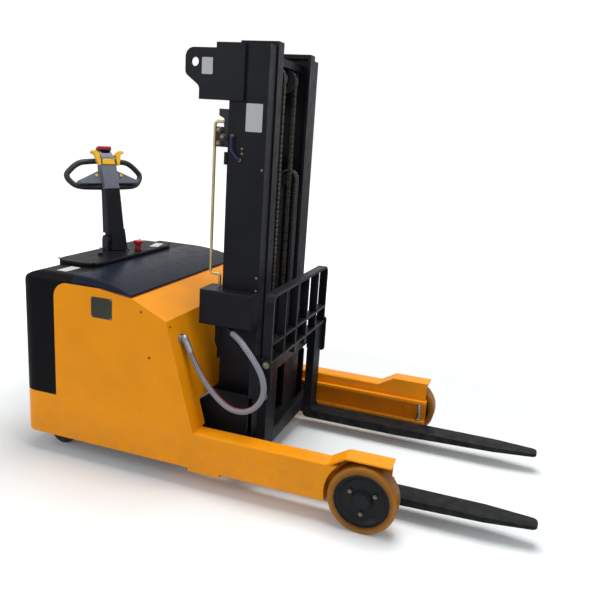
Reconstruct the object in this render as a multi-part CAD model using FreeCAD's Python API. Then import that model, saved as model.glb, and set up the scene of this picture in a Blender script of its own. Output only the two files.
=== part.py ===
import FreeCAD, Part
import math
import os

# A pedestrian reach stacker: a battery body on two outrigger legs, and a two stage mast that rolls
# forward along rails inside the legs. Lengths are millimetres. Stations run forward from the rear
# face, +Y is the truck's left and +Z is up. The finished part is moved so that its origin lies on
# the floor under the middle of its box.

V = FreeCAD.Vector

# Shared clearances
overrun = 10.0
slide_gap = 0.3
shaft_gap = 0.05
rail_gap = 1.0

# Body sheet metal, as outlines seen from the side
body_width = 1000.0
sheet = 6.0
skirt_bottom = 90.0
skirt_top = 280.0
panel_drop = 35.0
heel_radius = 40.0
rear_corner_radius = 70.0
cover_front = 180.0
cover_corner_radius = 65.0
hood_break = 407.0
hood_front = 548.0
hood_fall = 53.0
bend_station = 708.0
bend_drop = 126.0
foot_station = 836.0
mouth_top = 352.0

# Moulded covers
cover_wall = 5.0
cover_seam = 270.0
deck_top = 815.0
shoulder_radius = 38.0
rear_roll_radius = 115.0
hood_lip = 8.0
hood_lip_radius = 10.0
hood_crown = 12.0
hood_depth = 76.0
hood_cut_depth = 114.0
console_rear = 48.0
console_front = 262.0
console_side = 160.0
console_rise = 18.0
console_corner = 70.0
console_edge = 8.0
console_root = 57.5
column_hole = 70.0

# Legs, rails and fenders
leg_width = 109.0
leg_top = 244.0
leg_edge_radius = 10.0
rail_bottom = 76.0
rail_flange = 16.0
rail_opening = 90.0
rail_depth = 35.0
rail_web = 10.0
rail_start = 700.0
rail_end = 1640.0
skid_start = 818.0
skid_length = 140.0
skid_drop = 15.0
fender_start = 1400.0
fender_ramp = 66.0
fender_top = 284.0
fender_tip = 1640.0
fender_bend_radius = 30.0
rail_roof = 14.0
rail_ledge = 24.0
stop_back = 33.0
stop_radius = 8.0
stop_nut_radius = 13.0

# Load wheels
axle_station = 1545.0
load_radius = 133.5
load_width = 76.0
load_proud = 16.0
load_edge = 9.0
load_hub_radius = 106.0
hub_rim = 12.0
hub_slope = 24.0
hub_dish = 16.0
hub_boss_radius = 36.0
hub_bolt_circle = 56.0
hub_bolt_radius = 7.0
hub_bolt_count = 3
load_axle_radius = 21.0
arch_gap = 18.5

# Inner frame, battery and power unit
plate_height = 300.0
plate_thick = 12.0
plate_front = 278.0
tray_height = 333.0
tray_start = 284.0
tray_end = 660.0
battery_margin = 10.0
battery_side = 200.0
battery_headroom = 125.0
battery_edge = 12.0
tank_length = 160.0
tank_half = 150.0
tank_bottom = 140.0
pump_radius = 62.0
pump_length = 160.0
pump_offset = 60.0
controller_length = 150.0
controller_width = 170.0
controller_tall = 100.0

# Reach cylinders
reach_offset = 200.0
reach_height = 150.0
reach_barrel_radius = 30.0
reach_rod_radius = 14.0
reach_barrel_start = 176.0
reach_barrel_end = 735.0
reach_barrel_floor = 14.0
reach_rod_inset = 28.0
reach_anchor_length = 26.0
reach_anchor_half = 35.0

# Steering, drive unit and casters
steer_station = 128.0
steer_rest_angle = -28.0
drive_radius = 110.0
drive_width = 70.0
drive_hub_radius = 78.0
drive_shaft_radius = 22.0
drive_shaft_length = 45.0
gearbox_side = 42.0
gearbox_wide = 46.0
gearbox_half = 58.0
gearbox_bottom = 62.0
bridge_bottom = 232.0
bridge_back = 60.0
turntable_radius = 108.7
turntable_lip = 11.0
turntable_lip_thick = 10.0
motor_radius = 70.0
motor_tall = 198.0
brake_radius = 55.0
brake_tall = 40.0
column_radius = 24.0
caster_station = 165.0
caster_side = 115.0
caster_radius = 62.5
caster_width = 40.0
caster_trail = 35.0
caster_axle_radius = 8.0
caster_pin_radius = 12.0
caster_pin_length = 30.0
caster_head_radius = 42.0
caster_head_height = 158.0
caster_head_thick = 14.0
caster_post_half = 50.0
caster_cheek = 8.0
caster_cheek_gap = 3.0
caster_cheek_half = 17.0
caster_edge = 8.0

# Tiller
pivot_height = 880.0
pivot_pin_radius = 10.0
pivot_barrel_radius = 25.0
pivot_barrel_half = 32.0
ear_thick = 16.0
base_disc_radius = 62.0
base_disc_thick = 14.0
arm_lean = -8.0
pivot_rise = 47.3
arm_root = 38.0
arm_length = 208.0
arm_bottom_depth = 62.0
arm_bottom_width = 86.0
arm_top_depth = 52.0
arm_top_width = 74.0
arm_corner = 9.0
head_lean = -10.0
head_height = 186.0
head_front = 18.0
head_back = -26.0
head_foot = -6.0
head_foot_half = 37.0
head_top_half = 28.0
head_waist_half = 38.0
head_waist_height = 98.0
head_crown = 40.0
wing_front = 2.0
wing_half = 152.0
wing_low = 22.0
wing_high = 38.0
wing_root_half = 46.0
wing_root = 84.0
wing_corner = 6.0
head_edge = 4.0
grip_radius = 13.0
grip_half = 187.0
grip_top_height = 131.0
grip_bottom_height = 8.0
grip_root_depth = -8.0
grip_sweep = -34.0
grip_path_half_shares = [0.14, 0.52, 0.84, 1.0, 0.92, 0.66, 0.14]
grip_path_height_shares = [1.0, 0.95, 0.80, 0.54, 0.22, 0.04, 0.0]
grip_path_depth_shares = [0.0, 0.35, 0.8, 1.0, 0.9, 0.6, 0.25]
throttle_axle_radius = 5.0
throttle_hub_radius = 7.5
throttle_height = 153.0
throttle_gap = 3.0
throttle_back = 10.0
throttle_front = 24.0
throttle_tall = 58.0
throttle_wide = 42.0
throttle_root = 14.0
throttle_half_shares = [0.0, 0.22, 0.45, 0.50, 0.66, 1.0, 0.92, 0.52, 0.16, 0.0]
throttle_height_shares = [-0.80, -0.84, -0.45, -0.10, 0.08, 0.16, 0.32, 0.36, 0.26, 0.10]
belly_wide = 44.0
belly_deep = 26.0
belly_depth = -8.0
belly_tall = 28.0
belly_proud = 16.0
belly_travel = 8.0
belly_corner = 8.0
horn_wide = 62.0
horn_tall = 26.0
horn_height = 122.0
horn_proud = 3.0
press_travel = 3.0
press_deep = 8.0
press_radius = 7.0
press_offset = 62.0
press_height = 60.0

# Switches on the console
estop_station = 204.0
estop_offset = 88.0
estop_collar_radius = 15.0
estop_collar_tall = 22.0
estop_stem_radius = 7.0
estop_cap_radius = 23.0
estop_cap_tall = 16.0
estop_cap_edge = 5.0
estop_travel = 6.0
key_station = 150.0
key_offset = -140.0
key_barrel_radius = 12.0
key_barrel_tall = 10.0
key_thick = 3.0
key_wide = 20.0
key_tall = 24.0
key_bow_radius = 6.5

# Reach carriage
wedge_rear = 742.0
wedge_rear_top = 290.0
wedge_knee = 860.0
wedge_top = 385.0
wedge_front = 1008.0
wedge_bottom = 100.0
wedge_gap = 34.0
wedge_plate = 12.0
wedge_corner = 14.0
rear_beam_station = 765.0
rear_beam_length = 36.0
rear_beam_bottom = 110.0
rear_beam_top = 200.0
base_bottom = 58.0
base_thick = 12.0
bracket_margin = 20.0
bracket_bottom = 215.0
bracket_top = 345.0
reach_roller_rear = 790.0
reach_roller_front = 965.0
reach_roller_width = 30.0
reach_pin_radius = 18.0
reach_roller_edge = 3.5

# Mast
mast_rear = 840.0
mast_depth = 160.0
mast_half_share = 0.574
mast_top = 1744.0
rail_wall = 12.0
outer_lip_share = 0.13
groove_wide = 28.0
groove_deep = 4.0
stage_gap = 4.0
inner_advance = 26.0
inner_depth = 140.0
inner_lip_share = 0.112
inner_web = 10.0
inner_bottom = 76.0
cap_thick = 18.0
cap_rear = 850.0
tie_thick = 24.0
clamp_thick = 12.0
low_tie_top = 200.0
mid_tie_tall = 142.0
mid_tie_gap = 13.0
mid_tie_chamfer = 11.0
mid_tie_step_low = 44.0
mid_tie_step_high = 66.0
clamp_drop = 448.0
clamp_tall = 48.0
ear_rise = 12.0
ear_tall = 24.0
top_tie_tall = 184.0
inner_tie_thick = 8.0
inner_tie_gap = 2.0
inner_tie_bottom = 90.0
inner_tie_top = 200.0
roller_end_gap = 9.0
roller_face_gap = 3.0
roller_side_gap = 2.0
mast_pin_radius = 14.0
low_roller_height = 152.0
top_roller_drop = 94.0

# Lifting lug plates
lug_thick = 12.0
lug_front = 905.0
lug_drop = 208.0
lug_shelf_station = 787.0
lug_shelf_thick = 12.0
lug_heel = 718.0
lug_nose = 657.0
lug_eye_station = 697.0
lug_eye_drop = 72.0
lug_eye_radius = 17.0
lug_crest_drop = 20.0
lug_neck_drop = 160.0
lug_nose_radius = 36.0
lug_neck_radius = 24.0

# Lift cylinders, chains and mast hoses
cylinder_station = 880.0
cylinder_gap = 50.0
cylinder_radius = 28.0
cylinder_rise = 44.0
cylinder_floor = 16.0
shelf_thick = 12.0
shelf_front = 912.0
shelf_side = 38.0
lift_rod_radius = 16.0
crosshead_tall = 30.0
crosshead_drop = 24.0
crosshead_rear = 862.0
crosshead_front = 962.0
chain_gap = 46.0
chain_width = 22.0
chain_pitch = 19.05
chain_pin_half = 6.0
chain_waist_half = 4.5
chain_pin_shares = [0.25, 0.75]
chain_radius = 38.0
pulley_station = 938.0
pulley_drop = 50.0
pulley_flange_radius = 46.0
pulley_wall = 3.0
pulley_axle_radius = 10.0
hanger_thick = 8.0
hanger_half = 18.0
mast_hose_radius = 9.0
mast_hose_gap = 33.0
mast_hose_pitch = 22.0
saddle_station = 958.0
saddle_drop = 508.0
saddle_bend_radius = 34.0
saddle_strap_thick = 8.0
saddle_strap_wide = 20.0
hose_terminal_top = 165.0
hose_terminal_half = 22.0
hose_terminal_wide = 30.0
carriage_terminal_top = 152.0

# Fork carriage, backrest and forks
roller_plate_thick = 14.0
roller_plate_gap = 5.0
roller_plate_rear = 914.0
roller_plate_top = 545.0
cross_plate_thick = 14.0
cross_plate_bottom = 130.0
cross_plate_top = 500.0
window_gap = 9.0
window_bottom = 190.0
window_top = 420.0
bar_rear = 1016.0
bar_thick = 36.0
bar_half_share = 0.724
low_bar_bottom = 100.0
bar_tall = 66.0
bar_span = 407.0
bar_edge = 6.0
carriage_low_roller = 190.0
carriage_top_roller = 470.0
end_plate_thick = 12.0
end_plate_front = 1108.0
end_plate_bottom = 385.0
end_plate_top = 560.0
end_plate_bolt_radius = 13.0
end_plate_bolt_head = 9.0
end_plate_bolt_inset = 22.0
anchor_tall = 30.0
anchor_top = 460.0
guard_front = 1100.0
guard_deep = 26.0
guard_bar = 28.0
guard_top = 823.0
guard_mid_height = 625.0
guard_low_height = 535.0
guard_edge = 6.0
guard_upright_shares = [0.19, 0.57]
fork_margin = 54.0
fork_width = 100.0
fork_thick = 38.0
fork_top = 96.0
fork_length = 1081.0
fork_face = 1090.0
fork_tip_thick = 14.0
fork_tip_half = 30.0
fork_tip_length = 190.0
fork_tip_radius = 24.0
fork_heel_radius = 26.0
fork_taper_share = 0.4
hook_thick = 16.0
hook_deep = 20.0
hook_gap = 0.5

# Hydraulic fittings on the mast
hose_box_rear = 768.0
hose_box_proud = 58.0
hose_box_lap = 62.0
hose_box_rise = 53.0
hose_box_tall = 145.0
hose_box_edge = 5.0
pipe_radius = 6.0
pipe_inset = 25.0
pipe_station = 774.0
pipe_block_station = 818.0
pipe_bend_radius = 14.0
pipe_arch_rise = 20.0
pipe_step_rise = 53.0
valve_rear = 790.0
valve_tall = 76.0
valve_drop = 306.0
valve_inset = 3.0
valve_wide = 48.0
valve_edge = 4.0
valve_tab_tall = 67.0
valve_tab_thick = 10.0
valve_tab_inset = 10.0
valve_tab_neck = 32.0
valve_tab_lip = 25.0
valve_tab_drop = 36.0
fitting_radius = 9.0
fitting_long = 14.0
fitting_count = 3

# Reach hose: a looped hose between the body's front plate and the hose box on the mast
hose_radius = 12.0
hose_hole_share = 0.846
hose_hole_drop = 87.0
hose_hole_radius = 17.0
hose_boss_radius = 22.0
hose_boss_long = 16.0
ferrule_radius = 15.0
ferrule_long = 60.0
hose_stations = [806.0, 851.0, 901.0, 959.0, 1026.0, 1082.0,
                 1108.0, 1093.0, 1047.0, 1001.0, 957.0, 917.0]
hose_height_shares = [0.8239, 0.7159, 0.6246, 0.5598, 0.5548, 0.6146,
                      0.7176, 0.8306, 0.9219, 0.9834, 1.0299, 1.0515]
hose_offset_shares = [0.844, 0.84, 0.834, 0.824, 0.816, 0.808, 0.804, 0.8, 0.786, 0.76, 0.712, 0.67]
arc_run_share = 0.45
hose_gland_radius = 14.0
hose_gland_ball = 16.0
hose_gland_long = 26.0

# Lengths that follow from the sizes above
half = body_width / 2
leg_inner = half - leg_width
console_half = half - console_side
battery_half = half - battery_side
caster_offset = half - caster_side
hose_hole_offset = -half * hose_hole_share
rail_low = rail_bottom + rail_flange
rail_high = rail_low + rail_opening
rail_middle = rail_low + rail_opening / 2
web_inner = leg_inner + rail_depth
web_outer = web_inner + rail_web
plate_top = plate_height + plate_thick
tray_top = tray_height + plate_thick
console_top = deck_top + console_rise
panel_top = deck_top - panel_drop
hood_front_height = deck_top - hood_fall
bend_height = deck_top - bend_drop
battery_tall = deck_top - battery_headroom - tray_top
hose_hole_height = bend_height - hose_hole_drop
hose_box_bottom = hose_hole_height + hose_box_rise
hose_box_top = hose_box_bottom + hose_box_tall
pipe_step_height = hose_box_top + pipe_step_rise
mid_tie_top = hose_box_bottom - mid_tie_gap
mid_tie_bottom = mid_tie_top - mid_tie_tall
reach_roller_radius = rail_opening / 2 - rail_gap
wedge_outer = leg_inner - wedge_gap
wedge_inner = wedge_outer - wedge_plate
mast_half = half * mast_half_share
outer_lip = half * outer_lip_share
inner_lip = half * inner_lip_share
mast_front = mast_rear + mast_depth
mast_foot = base_bottom + base_thick
outer_tip = mast_half - outer_lip
inner_outer = outer_tip - stage_gap
inner_tip = inner_outer - inner_lip
inner_rear = mast_rear + inner_advance
inner_front = inner_rear + inner_depth
inner_web_outer = inner_outer - (inner_lip - inner_web) / 2
inner_web_inner = inner_web_outer - inner_web
mast_roller_width = outer_lip - rail_wall - stage_gap - roller_end_gap
slim_roller_width = inner_outer - inner_web_outer - roller_side_gap - roller_face_gap
outer_roller_radius = mast_depth / 2 - rail_wall - rail_gap
inner_roller_radius = inner_depth / 2 - rail_wall - rail_gap
outer_middle = mast_rear + mast_depth / 2
inner_middle = inner_rear + inner_depth / 2
roller_plate_outer = inner_tip - roller_plate_gap
roller_plate_inner = roller_plate_outer - roller_plate_thick
cylinder_offset = inner_tip - cylinder_gap
shelf_half = cylinder_offset + shelf_side
chain_offset = cylinder_offset - chain_gap
mast_hose_offset = roller_plate_inner - mast_hose_gap
window_half = chain_offset - chain_width / 2 - window_gap
bar_half = half * bar_half_share
fork_centre = bar_half - fork_margin
hose_box_side = mast_half + hose_box_proud
hose_box_inner = mast_half - hose_box_lap
pipe_offset = mast_half - pipe_inset
valve_outer = mast_half - valve_inset
valve_inner = valve_outer - valve_wide
bar_front = bar_rear + bar_thick
high_bar_top = low_bar_bottom + bar_span
high_bar_bottom = high_bar_top - bar_tall
fork_back = fork_face - fork_thick + slide_gap
arm_bottom = pivot_height + arm_root
arm_top = arm_bottom + arm_length
clamp_bottom = mast_top - clamp_drop
ear_bottom = clamp_bottom + ear_rise
cylinder_top = clamp_bottom + cylinder_rise
top_tie_bottom = mast_top - top_tie_tall
top_roller_height = mast_top - top_roller_drop
lug_bottom = mast_top - lug_drop
lug_eye_height = mast_top - lug_eye_drop
lug_crest = mast_top - lug_crest_drop
lug_neck_height = mast_top - lug_neck_drop
crosshead_top = mast_top - crosshead_drop
crosshead_bottom = crosshead_top - crosshead_tall
pulley_height = crosshead_bottom - pulley_drop
saddle_height = mast_top - saddle_drop
valve_top = mast_top - valve_drop
valve_bottom = valve_top - valve_tall
valve_tab_top = valve_top + valve_tab_tall
pipe_arch_top = valve_top + pipe_arch_rise
load_inner = half + load_proud - load_width
load_outer = half + load_proud
box_inner = leg_inner + rail_ledge


def box(x0, x1, y0, y1, z0, z1):
    """Block between two stations, two offsets and two heights."""
    return Part.makeBox(x1 - x0, y1 - y0, z1 - z0, V(x0, y0, z0))


def drum_x(radius, x0, x1, y, z):
    """Cylinder lying along the truck."""
    return Part.makeCylinder(radius, x1 - x0, V(x0, y, z), V(1, 0, 0))


def drum_y(radius, y0, y1, x, z):
    """Cylinder lying across the truck."""
    return Part.makeCylinder(radius, y1 - y0, V(x, y0, z), V(0, 1, 0))


def drum_z(radius, z0, z1, x, y):
    """Upright cylinder."""
    return Part.makeCylinder(radius, z1 - z0, V(x, y, z0), V(0, 0, 1))


def corner_arc(before, at, after, radius):
    """Start, middle and end of the arc that rounds one corner of a path."""
    back = (before - at).normalize()
    ahead = (after - at).normalize()
    half_angle = back.getAngle(ahead) / 2
    reach = radius / math.tan(half_angle)
    inward = (back + ahead).normalize()
    centre = at + inward * (radius / math.sin(half_angle))
    return at + back * reach, centre - inward * radius, at + ahead * reach


def outline(corners):
    """Closed wire through (point, radius) corners, rounded where the radius isn't zero."""
    edges = []
    ends = []
    count = len(corners)
    for i, (at, radius) in enumerate(corners):
        first = last = at
        if radius:
            first, middle, last = corner_arc(corners[i - 1][0], at, corners[(i + 1) % count][0], radius)
            edges.append(Part.Arc(first, middle, last).toShape())
        ends.append((first, last))
    for i in range(count):
        start, end = ends[i - 1][1], ends[i][0]
        if start.distanceToPoint(end) > Part.Precision.confusion():
            edges.append(Part.LineSegment(start, end).toShape())
    return Part.Wire(Part.__sortEdges__(edges))


def prism(points, place, along):
    """Solid pushed along a vector from an outline of (a, b) or (a, b, radius) points."""
    corners = [(place(p[0], p[1]), p[2] if len(p) > 2 else 0) for p in points]
    return Part.Face(outline(corners)).extrude(along)


def side_prism(points, y0, y1):
    """Outline of (station, height) points pushed across the truck."""
    return prism(points, lambda x, z: V(x, y0, z), V(0, y1 - y0, 0))


def plan_prism(points, z0, z1):
    """Outline of (station, offset) points pushed upwards."""
    return prism(points, lambda x, y: V(x, y, z0), V(0, 0, z1 - z0))


def front_prism(points, x0, x1):
    """Outline of (offset, height) points pushed forwards."""
    return prism(points, lambda y, z: V(x0, y, z), V(x1 - x0, 0, 0))


def turned_y(profile, x, z):
    """Solid of revolution about an axis across the truck, from (radius, offset) points."""
    corners = [(V(x + p[0], p[1], z), p[2] if len(p) > 2 else 0) for p in profile]
    return Part.Face(outline(corners)).revolve(V(x, 0, z), V(0, 1, 0), 360)


def inset(points, depth):
    """Counter-clockwise outline moved inwards by a wall's thickness."""
    moved = []
    count = len(points)
    for i in range(count):
        a, b, c = points[i - 1], points[i], points[(i + 1) % count]
        first = V(a[1] - b[1], b[0] - a[0], 0).normalize()
        second = V(b[1] - c[1], c[0] - b[0], 0).normalize()
        shift = (first + second) * (depth / (1 + first.dot(second)))
        radius = max(b[2] - depth, 0) if len(b) > 2 else 0
        moved.append((b[0] + shift.x, b[1] + shift.y, radius))
    return moved


def eased(shape, radius, chosen):
    """Shape with its chosen edges rounded."""
    return shape.makeFillet(radius, [edge for edge in shape.Edges if chosen(edge)])


def mirrored(shape):
    """The same piece on the other side of the truck."""
    return shape.mirror(V(0, 0, 0), V(0, 1, 0))


def group(*shapes):
    """Separate solids kept in one node."""
    return Part.makeCompound([solid for shape in shapes for solid in shape.Solids])


def pair(shape):
    """A piece and its twin on the other side."""
    return group(shape, mirrored(shape))


def welded(first, *rest):
    """Pieces joined into one solid."""
    return first.multiFuse(list(rest)).removeSplitter()


def body_outline():
    """Side outline of the painted body, counter-clockwise from the heel."""
    return [
        (0, skirt_bottom, heel_radius),
        (foot_station, skirt_bottom),
        (foot_station, leg_top),
        (bend_station, bend_height),
        (hood_front, hood_front_height),
        (hood_break, panel_top),
        (cover_front, panel_top, cover_corner_radius),
        (cover_front, skirt_top),
        (0, skirt_top),
    ]


def body_plan(front):
    """Plan outline of the body up to a station, with rounded rear corners."""
    return [
        (0, -half, rear_corner_radius),
        (front, -half),
        (front, half),
        (0, half, rear_corner_radius),
    ]


def front_station(height):
    """Station of the steep front plate at a height."""
    return bend_station + (bend_height - height) * (foot_station - bend_station) / (bend_height - leg_top)


def front_normal():
    """Outward normal of the steep front plate."""
    return V(bend_height - leg_top, 0, foot_station - bend_station).normalize()


def hose_hole_point():
    """Where the reach hose's fitting stands on the front plate."""
    return V(front_station(hose_hole_height), hose_hole_offset, hose_hole_height)


def make_body_shell():
    """Painted sheet body: side panels, sloped top, steep front plate and rear skirt."""
    low = skirt_bottom - overrun
    high = panel_top + overrun
    plan = body_plan(foot_station + overrun)
    outer = side_prism(body_outline(), -half, half).common(plan_prism(plan, low, high))
    room = [
        (0, low - sheet),
        (foot_station, low - sheet),
        (foot_station, leg_top),
        (bend_station, bend_height),
        (hood_front, hood_front_height),
        (hood_front, high + sheet),
        (0, high + sheet),
    ]
    inner = side_prism(inset(room, sheet), -half + sheet, half - sheet)
    inner = inner.common(plan_prism(inset(plan, sheet), low, high))
    leg_way = box(bend_station, foot_station + overrun, -half + sheet, half - sheet, low, leg_top)
    mouth = box(bend_station, foot_station + overrun, -leg_inner, leg_inner, low, mouth_top)
    at = hose_hole_point() - front_normal() * overrun
    hole = Part.makeCylinder(hose_hole_radius, overrun * 2, at, front_normal())
    return outer.cut(inner).cut(leg_way).cut(mouth).cut(hole)


def cover_solid(wall):
    """The rear cover's outer form, or its hollow when a wall is given."""
    seam = cover_seam + (overrun if wall else 0)
    foot = skirt_top - (overrun if wall else 0)
    top = deck_top - wall
    wide = half - wall
    plan = inset(body_plan(seam + wall), wall)
    roll = [(wall, foot), (seam, foot), (seam, top), (wall, top, rear_roll_radius - wall)]
    round_top = shoulder_radius - wall
    arch = [(-wide, foot), (wide, foot), (wide, top, round_top), (-wide, top, round_top)]
    solid = plan_prism(plan, foot, top).common(front_prism(arch, wall, seam))
    return solid.common(side_prism(roll, -wide, wide))


def make_rear_cover():
    """Moulded rear cover: rolled rear edge, soft shoulders and the deck behind the seam."""
    window = [
        (cover_front, skirt_top - overrun),
        (cover_seam + overrun, skirt_top - overrun),
        (cover_seam + overrun, panel_top),
        (cover_front, panel_top, cover_corner_radius),
    ]
    panels = side_prism(window, -half - overrun, half + overrun)
    hole = drum_z(column_hole, deck_top - rear_roll_radius, deck_top + overrun, steer_station, 0)
    return cover_solid(0).cut(cover_solid(cover_wall)).cut(panels).cut(hole)


def hood_section(station, top, wide, radius):
    """Section across the hood at a station, with rounded shoulders."""
    deep = hood_front_height - hood_depth
    points = [(-wide, deep, 0), (wide, deep, 0), (wide, top, radius), (-wide, top, radius)]
    return outline([(V(station, y, z), corner) for y, z, corner in points])


def hood_solid(wall):
    """The hood's outer form, or its hollow when a wall is given, before the panel's edge is cut."""
    rear = cover_seam - (overrun if wall else 0)
    front = hood_front - wall
    wide = half - wall
    crest = deck_top - wall
    lip = hood_front_height + hood_lip - wall
    middle = (crest + lip) / 2 + hood_crown
    round_crest = shoulder_radius - wall
    round_lip = hood_lip_radius - wall
    return Part.makeLoft([
        hood_section(rear, crest, wide, round_crest),
        hood_section((rear + front) / 2, middle, wide, (round_crest + round_lip) / 2),
        hood_section(front, lip, wide, round_lip),
    ], True, False)


def make_hood():
    """Moulded hood: a crowned shell that falls to the front edge over the sloped panel."""
    deep = hood_front_height - hood_cut_depth
    panel = side_prism([
        (cover_seam - overrun, deep),
        (hood_front + overrun, deep),
        (hood_front + overrun, hood_front_height),
        (hood_front, hood_front_height),
        (hood_break, panel_top),
        (cover_seam - overrun, panel_top),
    ], -half - overrun, half + overrun)
    return hood_solid(0).cut(hood_solid(cover_wall)).cut(panel)


def make_console():
    """Raised console on the deck, round which the tiller turns."""
    plan = [
        (console_rear, -console_half, console_corner),
        (console_front, -console_half, console_corner),
        (console_front, console_half, console_corner),
        (console_rear, console_half, console_corner),
    ]
    foot = deck_top - console_root
    block = plan_prism(plan, foot, console_top)
    block = eased(block, console_edge, lambda e: e.BoundBox.ZMin > console_top - slide_gap)
    hole = drum_z(column_hole, foot, console_top + overrun, steer_station, 0)
    stem = drum_z(estop_stem_radius + slide_gap, foot, console_top + overrun, estop_station, estop_offset)
    return block.cut(hole).cut(stem).cut(cover_solid(0))


def leg_section(outer):
    """Cross section of a left leg: box beam outside, rail with its ledge and mouth inside."""
    return [
        (outer, skirt_bottom),
        (web_outer, skirt_bottom),
        (web_outer, rail_bottom),
        (leg_inner, rail_bottom),
        (leg_inner, rail_low),
        (web_inner, rail_low),
        (web_inner, rail_high),
        (leg_inner, rail_high),
        (leg_inner, rail_high + rail_roof),
        (box_inner, rail_high + rail_roof),
        (box_inner, leg_top, leg_edge_radius),
        (outer, leg_top, leg_edge_radius),
    ][::-1]


def make_leg():
    """Left leg: box beam with its rail, wheel arch, ramped fender and skid."""
    arch = drum_y(load_radius + arch_gap, web_outer, half + overrun, axle_station, load_radius)
    arch_front = box(axle_station, rail_end + overrun, web_outer, half + overrun, 0, leg_top + overrun)
    beam = front_prism(leg_section(half), foot_station, axle_station)
    beam = beam.cut(arch).cut(arch_front)
    tail = front_prism(leg_section(half - sheet), rail_start, foot_station)
    rail = front_prism([
        (web_outer, rail_bottom),
        (web_outer, rail_high + rail_roof),
        (leg_inner, rail_high + rail_roof),
        (leg_inner, rail_high),
        (web_inner, rail_high),
        (web_inner, rail_low),
        (leg_inner, rail_low),
        (leg_inner, rail_bottom),
    ], axle_station - load_radius, rail_end)
    skid = box(skid_start, skid_start + skid_length, web_outer, half, skirt_bottom - skid_drop, skirt_bottom)
    leg = welded(beam, tail, rail, skid, make_fender(), make_fender_wall())
    axle_hole = drum_y(load_axle_radius, leg_inner, half, axle_station, load_radius)
    return leg.cut(axle_hole)


def make_fender():
    """Bent plate over a left load wheel: a ramp off the leg's top and a flat roof."""
    ramp_end = fender_start + fender_ramp
    under = fender_top - sheet
    slope = (fender_top - leg_top) / fender_ramp
    back = sheet * (math.sqrt(1 + slope * slope) - 1) / slope
    bottom = leg_top - sheet
    plate = [
        (fender_start - sheet / slope, bottom),
        (fender_start + sheet, bottom),
        (ramp_end + back, under, fender_bend_radius - sheet),
        (fender_tip, under),
        (fender_tip, fender_top),
        (ramp_end, fender_top, fender_bend_radius),
    ]
    return side_prism(plate, box_inner, half)


def make_fender_wall():
    """Upright inner wall between the rail's ledge and the fender's roof."""
    wall = [
        (fender_start - fender_ramp, rail_high + rail_roof / 2),
        (rail_end - sheet, rail_high + rail_roof / 2),
        (fender_tip - sheet, fender_top - sheet / 2),
        (fender_start + fender_ramp, fender_top - sheet / 2),
        (fender_start, leg_top - sheet),
        (fender_start - fender_ramp, leg_top - sheet),
    ]
    return side_prism(wall, box_inner, box_inner + sheet)


def make_leg_hardware():
    """Left stub axle with its collar, and the stop bolt in the rail's mouth."""
    axle = drum_y(load_axle_radius, web_inner, load_outer - hub_dish, axle_station, load_radius)
    collar = drum_y(load_axle_radius + hub_rim, web_outer, load_inner - slide_gap, axle_station, load_radius)
    middle = (leg_inner + web_inner) / 2
    stop = drum_z(stop_radius, rail_low, rail_high, rail_end - stop_back, middle)
    nut = drum_z(stop_nut_radius, rail_low, rail_low + stop_radius, rail_end - stop_back, middle)
    return group(welded(axle, collar), welded(stop, nut))


def make_load_tyre():
    """Left polyurethane tyre with rounded shoulders."""
    return turned_y([
        (load_hub_radius, load_inner),
        (load_radius, load_inner, load_edge),
        (load_radius, load_outer, load_edge),
        (load_hub_radius, load_outer),
    ], axle_station, load_radius)


def make_load_hub():
    """Left dished hub: rim, sunk disc, centre boss and a ring of bolts."""
    bore = load_axle_radius + shaft_gap
    face = load_outer - hub_dish
    hub = turned_y([
        (bore, load_inner),
        (load_hub_radius, load_inner),
        (load_hub_radius, load_outer - sheet),
        (load_hub_radius - hub_rim, load_outer - sheet),
        (load_hub_radius - hub_slope, face),
        (hub_boss_radius + hub_rim / 2, face),
        (hub_boss_radius, load_outer - sheet),
        (bore, load_outer - sheet),
    ], axle_station, load_radius)
    cap = drum_y(hub_boss_radius - sheet, load_outer - sheet, load_outer, axle_station, load_radius)
    bolts = []
    for i in range(hub_bolt_count):
        angle = math.radians(90 + 360 * (i + 0.5) / hub_bolt_count)
        x = axle_station + hub_bolt_circle * math.cos(angle)
        z = load_radius + hub_bolt_circle * math.sin(angle)
        bolts.append(drum_y(hub_bolt_radius, face, face + hub_bolt_radius, x, z))
    return welded(hub, eased(cap, sheet / 2, lambda e: e.BoundBox.YMin > load_outer - slide_gap), *bolts)


def make_inner_frame():
    """Drive plate, battery tray, caster posts and reach anchors inside the body."""
    floor = [(p[0], p[1], p[2]) for p in inset(body_plan(plate_front + sheet), sheet)]
    plate = plan_prism(floor, plate_height, plate_top)
    plate = plate.cut(drum_z(turntable_radius + slide_gap, plate_height - overrun, plate_top + overrun,
                             steer_station, 0))
    tray = box(tray_start, tray_end, -half + sheet, half - sheet, tray_height, tray_top)
    post = box(caster_station - caster_post_half, caster_station + caster_post_half,
               caster_offset - caster_post_half, caster_offset + caster_post_half,
               caster_head_height + caster_head_thick + slide_gap, plate_height)
    bore = drum_z(caster_pin_radius + shaft_gap, 0, plate_height - caster_pin_length,
                  caster_station, caster_offset)
    anchor = box(reach_barrel_start - reach_anchor_length, reach_barrel_start,
                 reach_offset - reach_anchor_half, reach_offset + reach_anchor_half,
                 reach_height - reach_anchor_half, plate_height)
    posts = pair(post.cut(bore))
    return group(plate, tray, posts, pair(anchor))


def make_battery():
    """Battery in its steel tank on the tray."""
    case = box(tray_start + battery_margin, tray_end - battery_margin, -battery_half, battery_half,
               tray_top, tray_top + battery_tall)
    return eased(case, battery_edge, lambda e: e.BoundBox.ZLength > battery_tall / 2)


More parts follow.
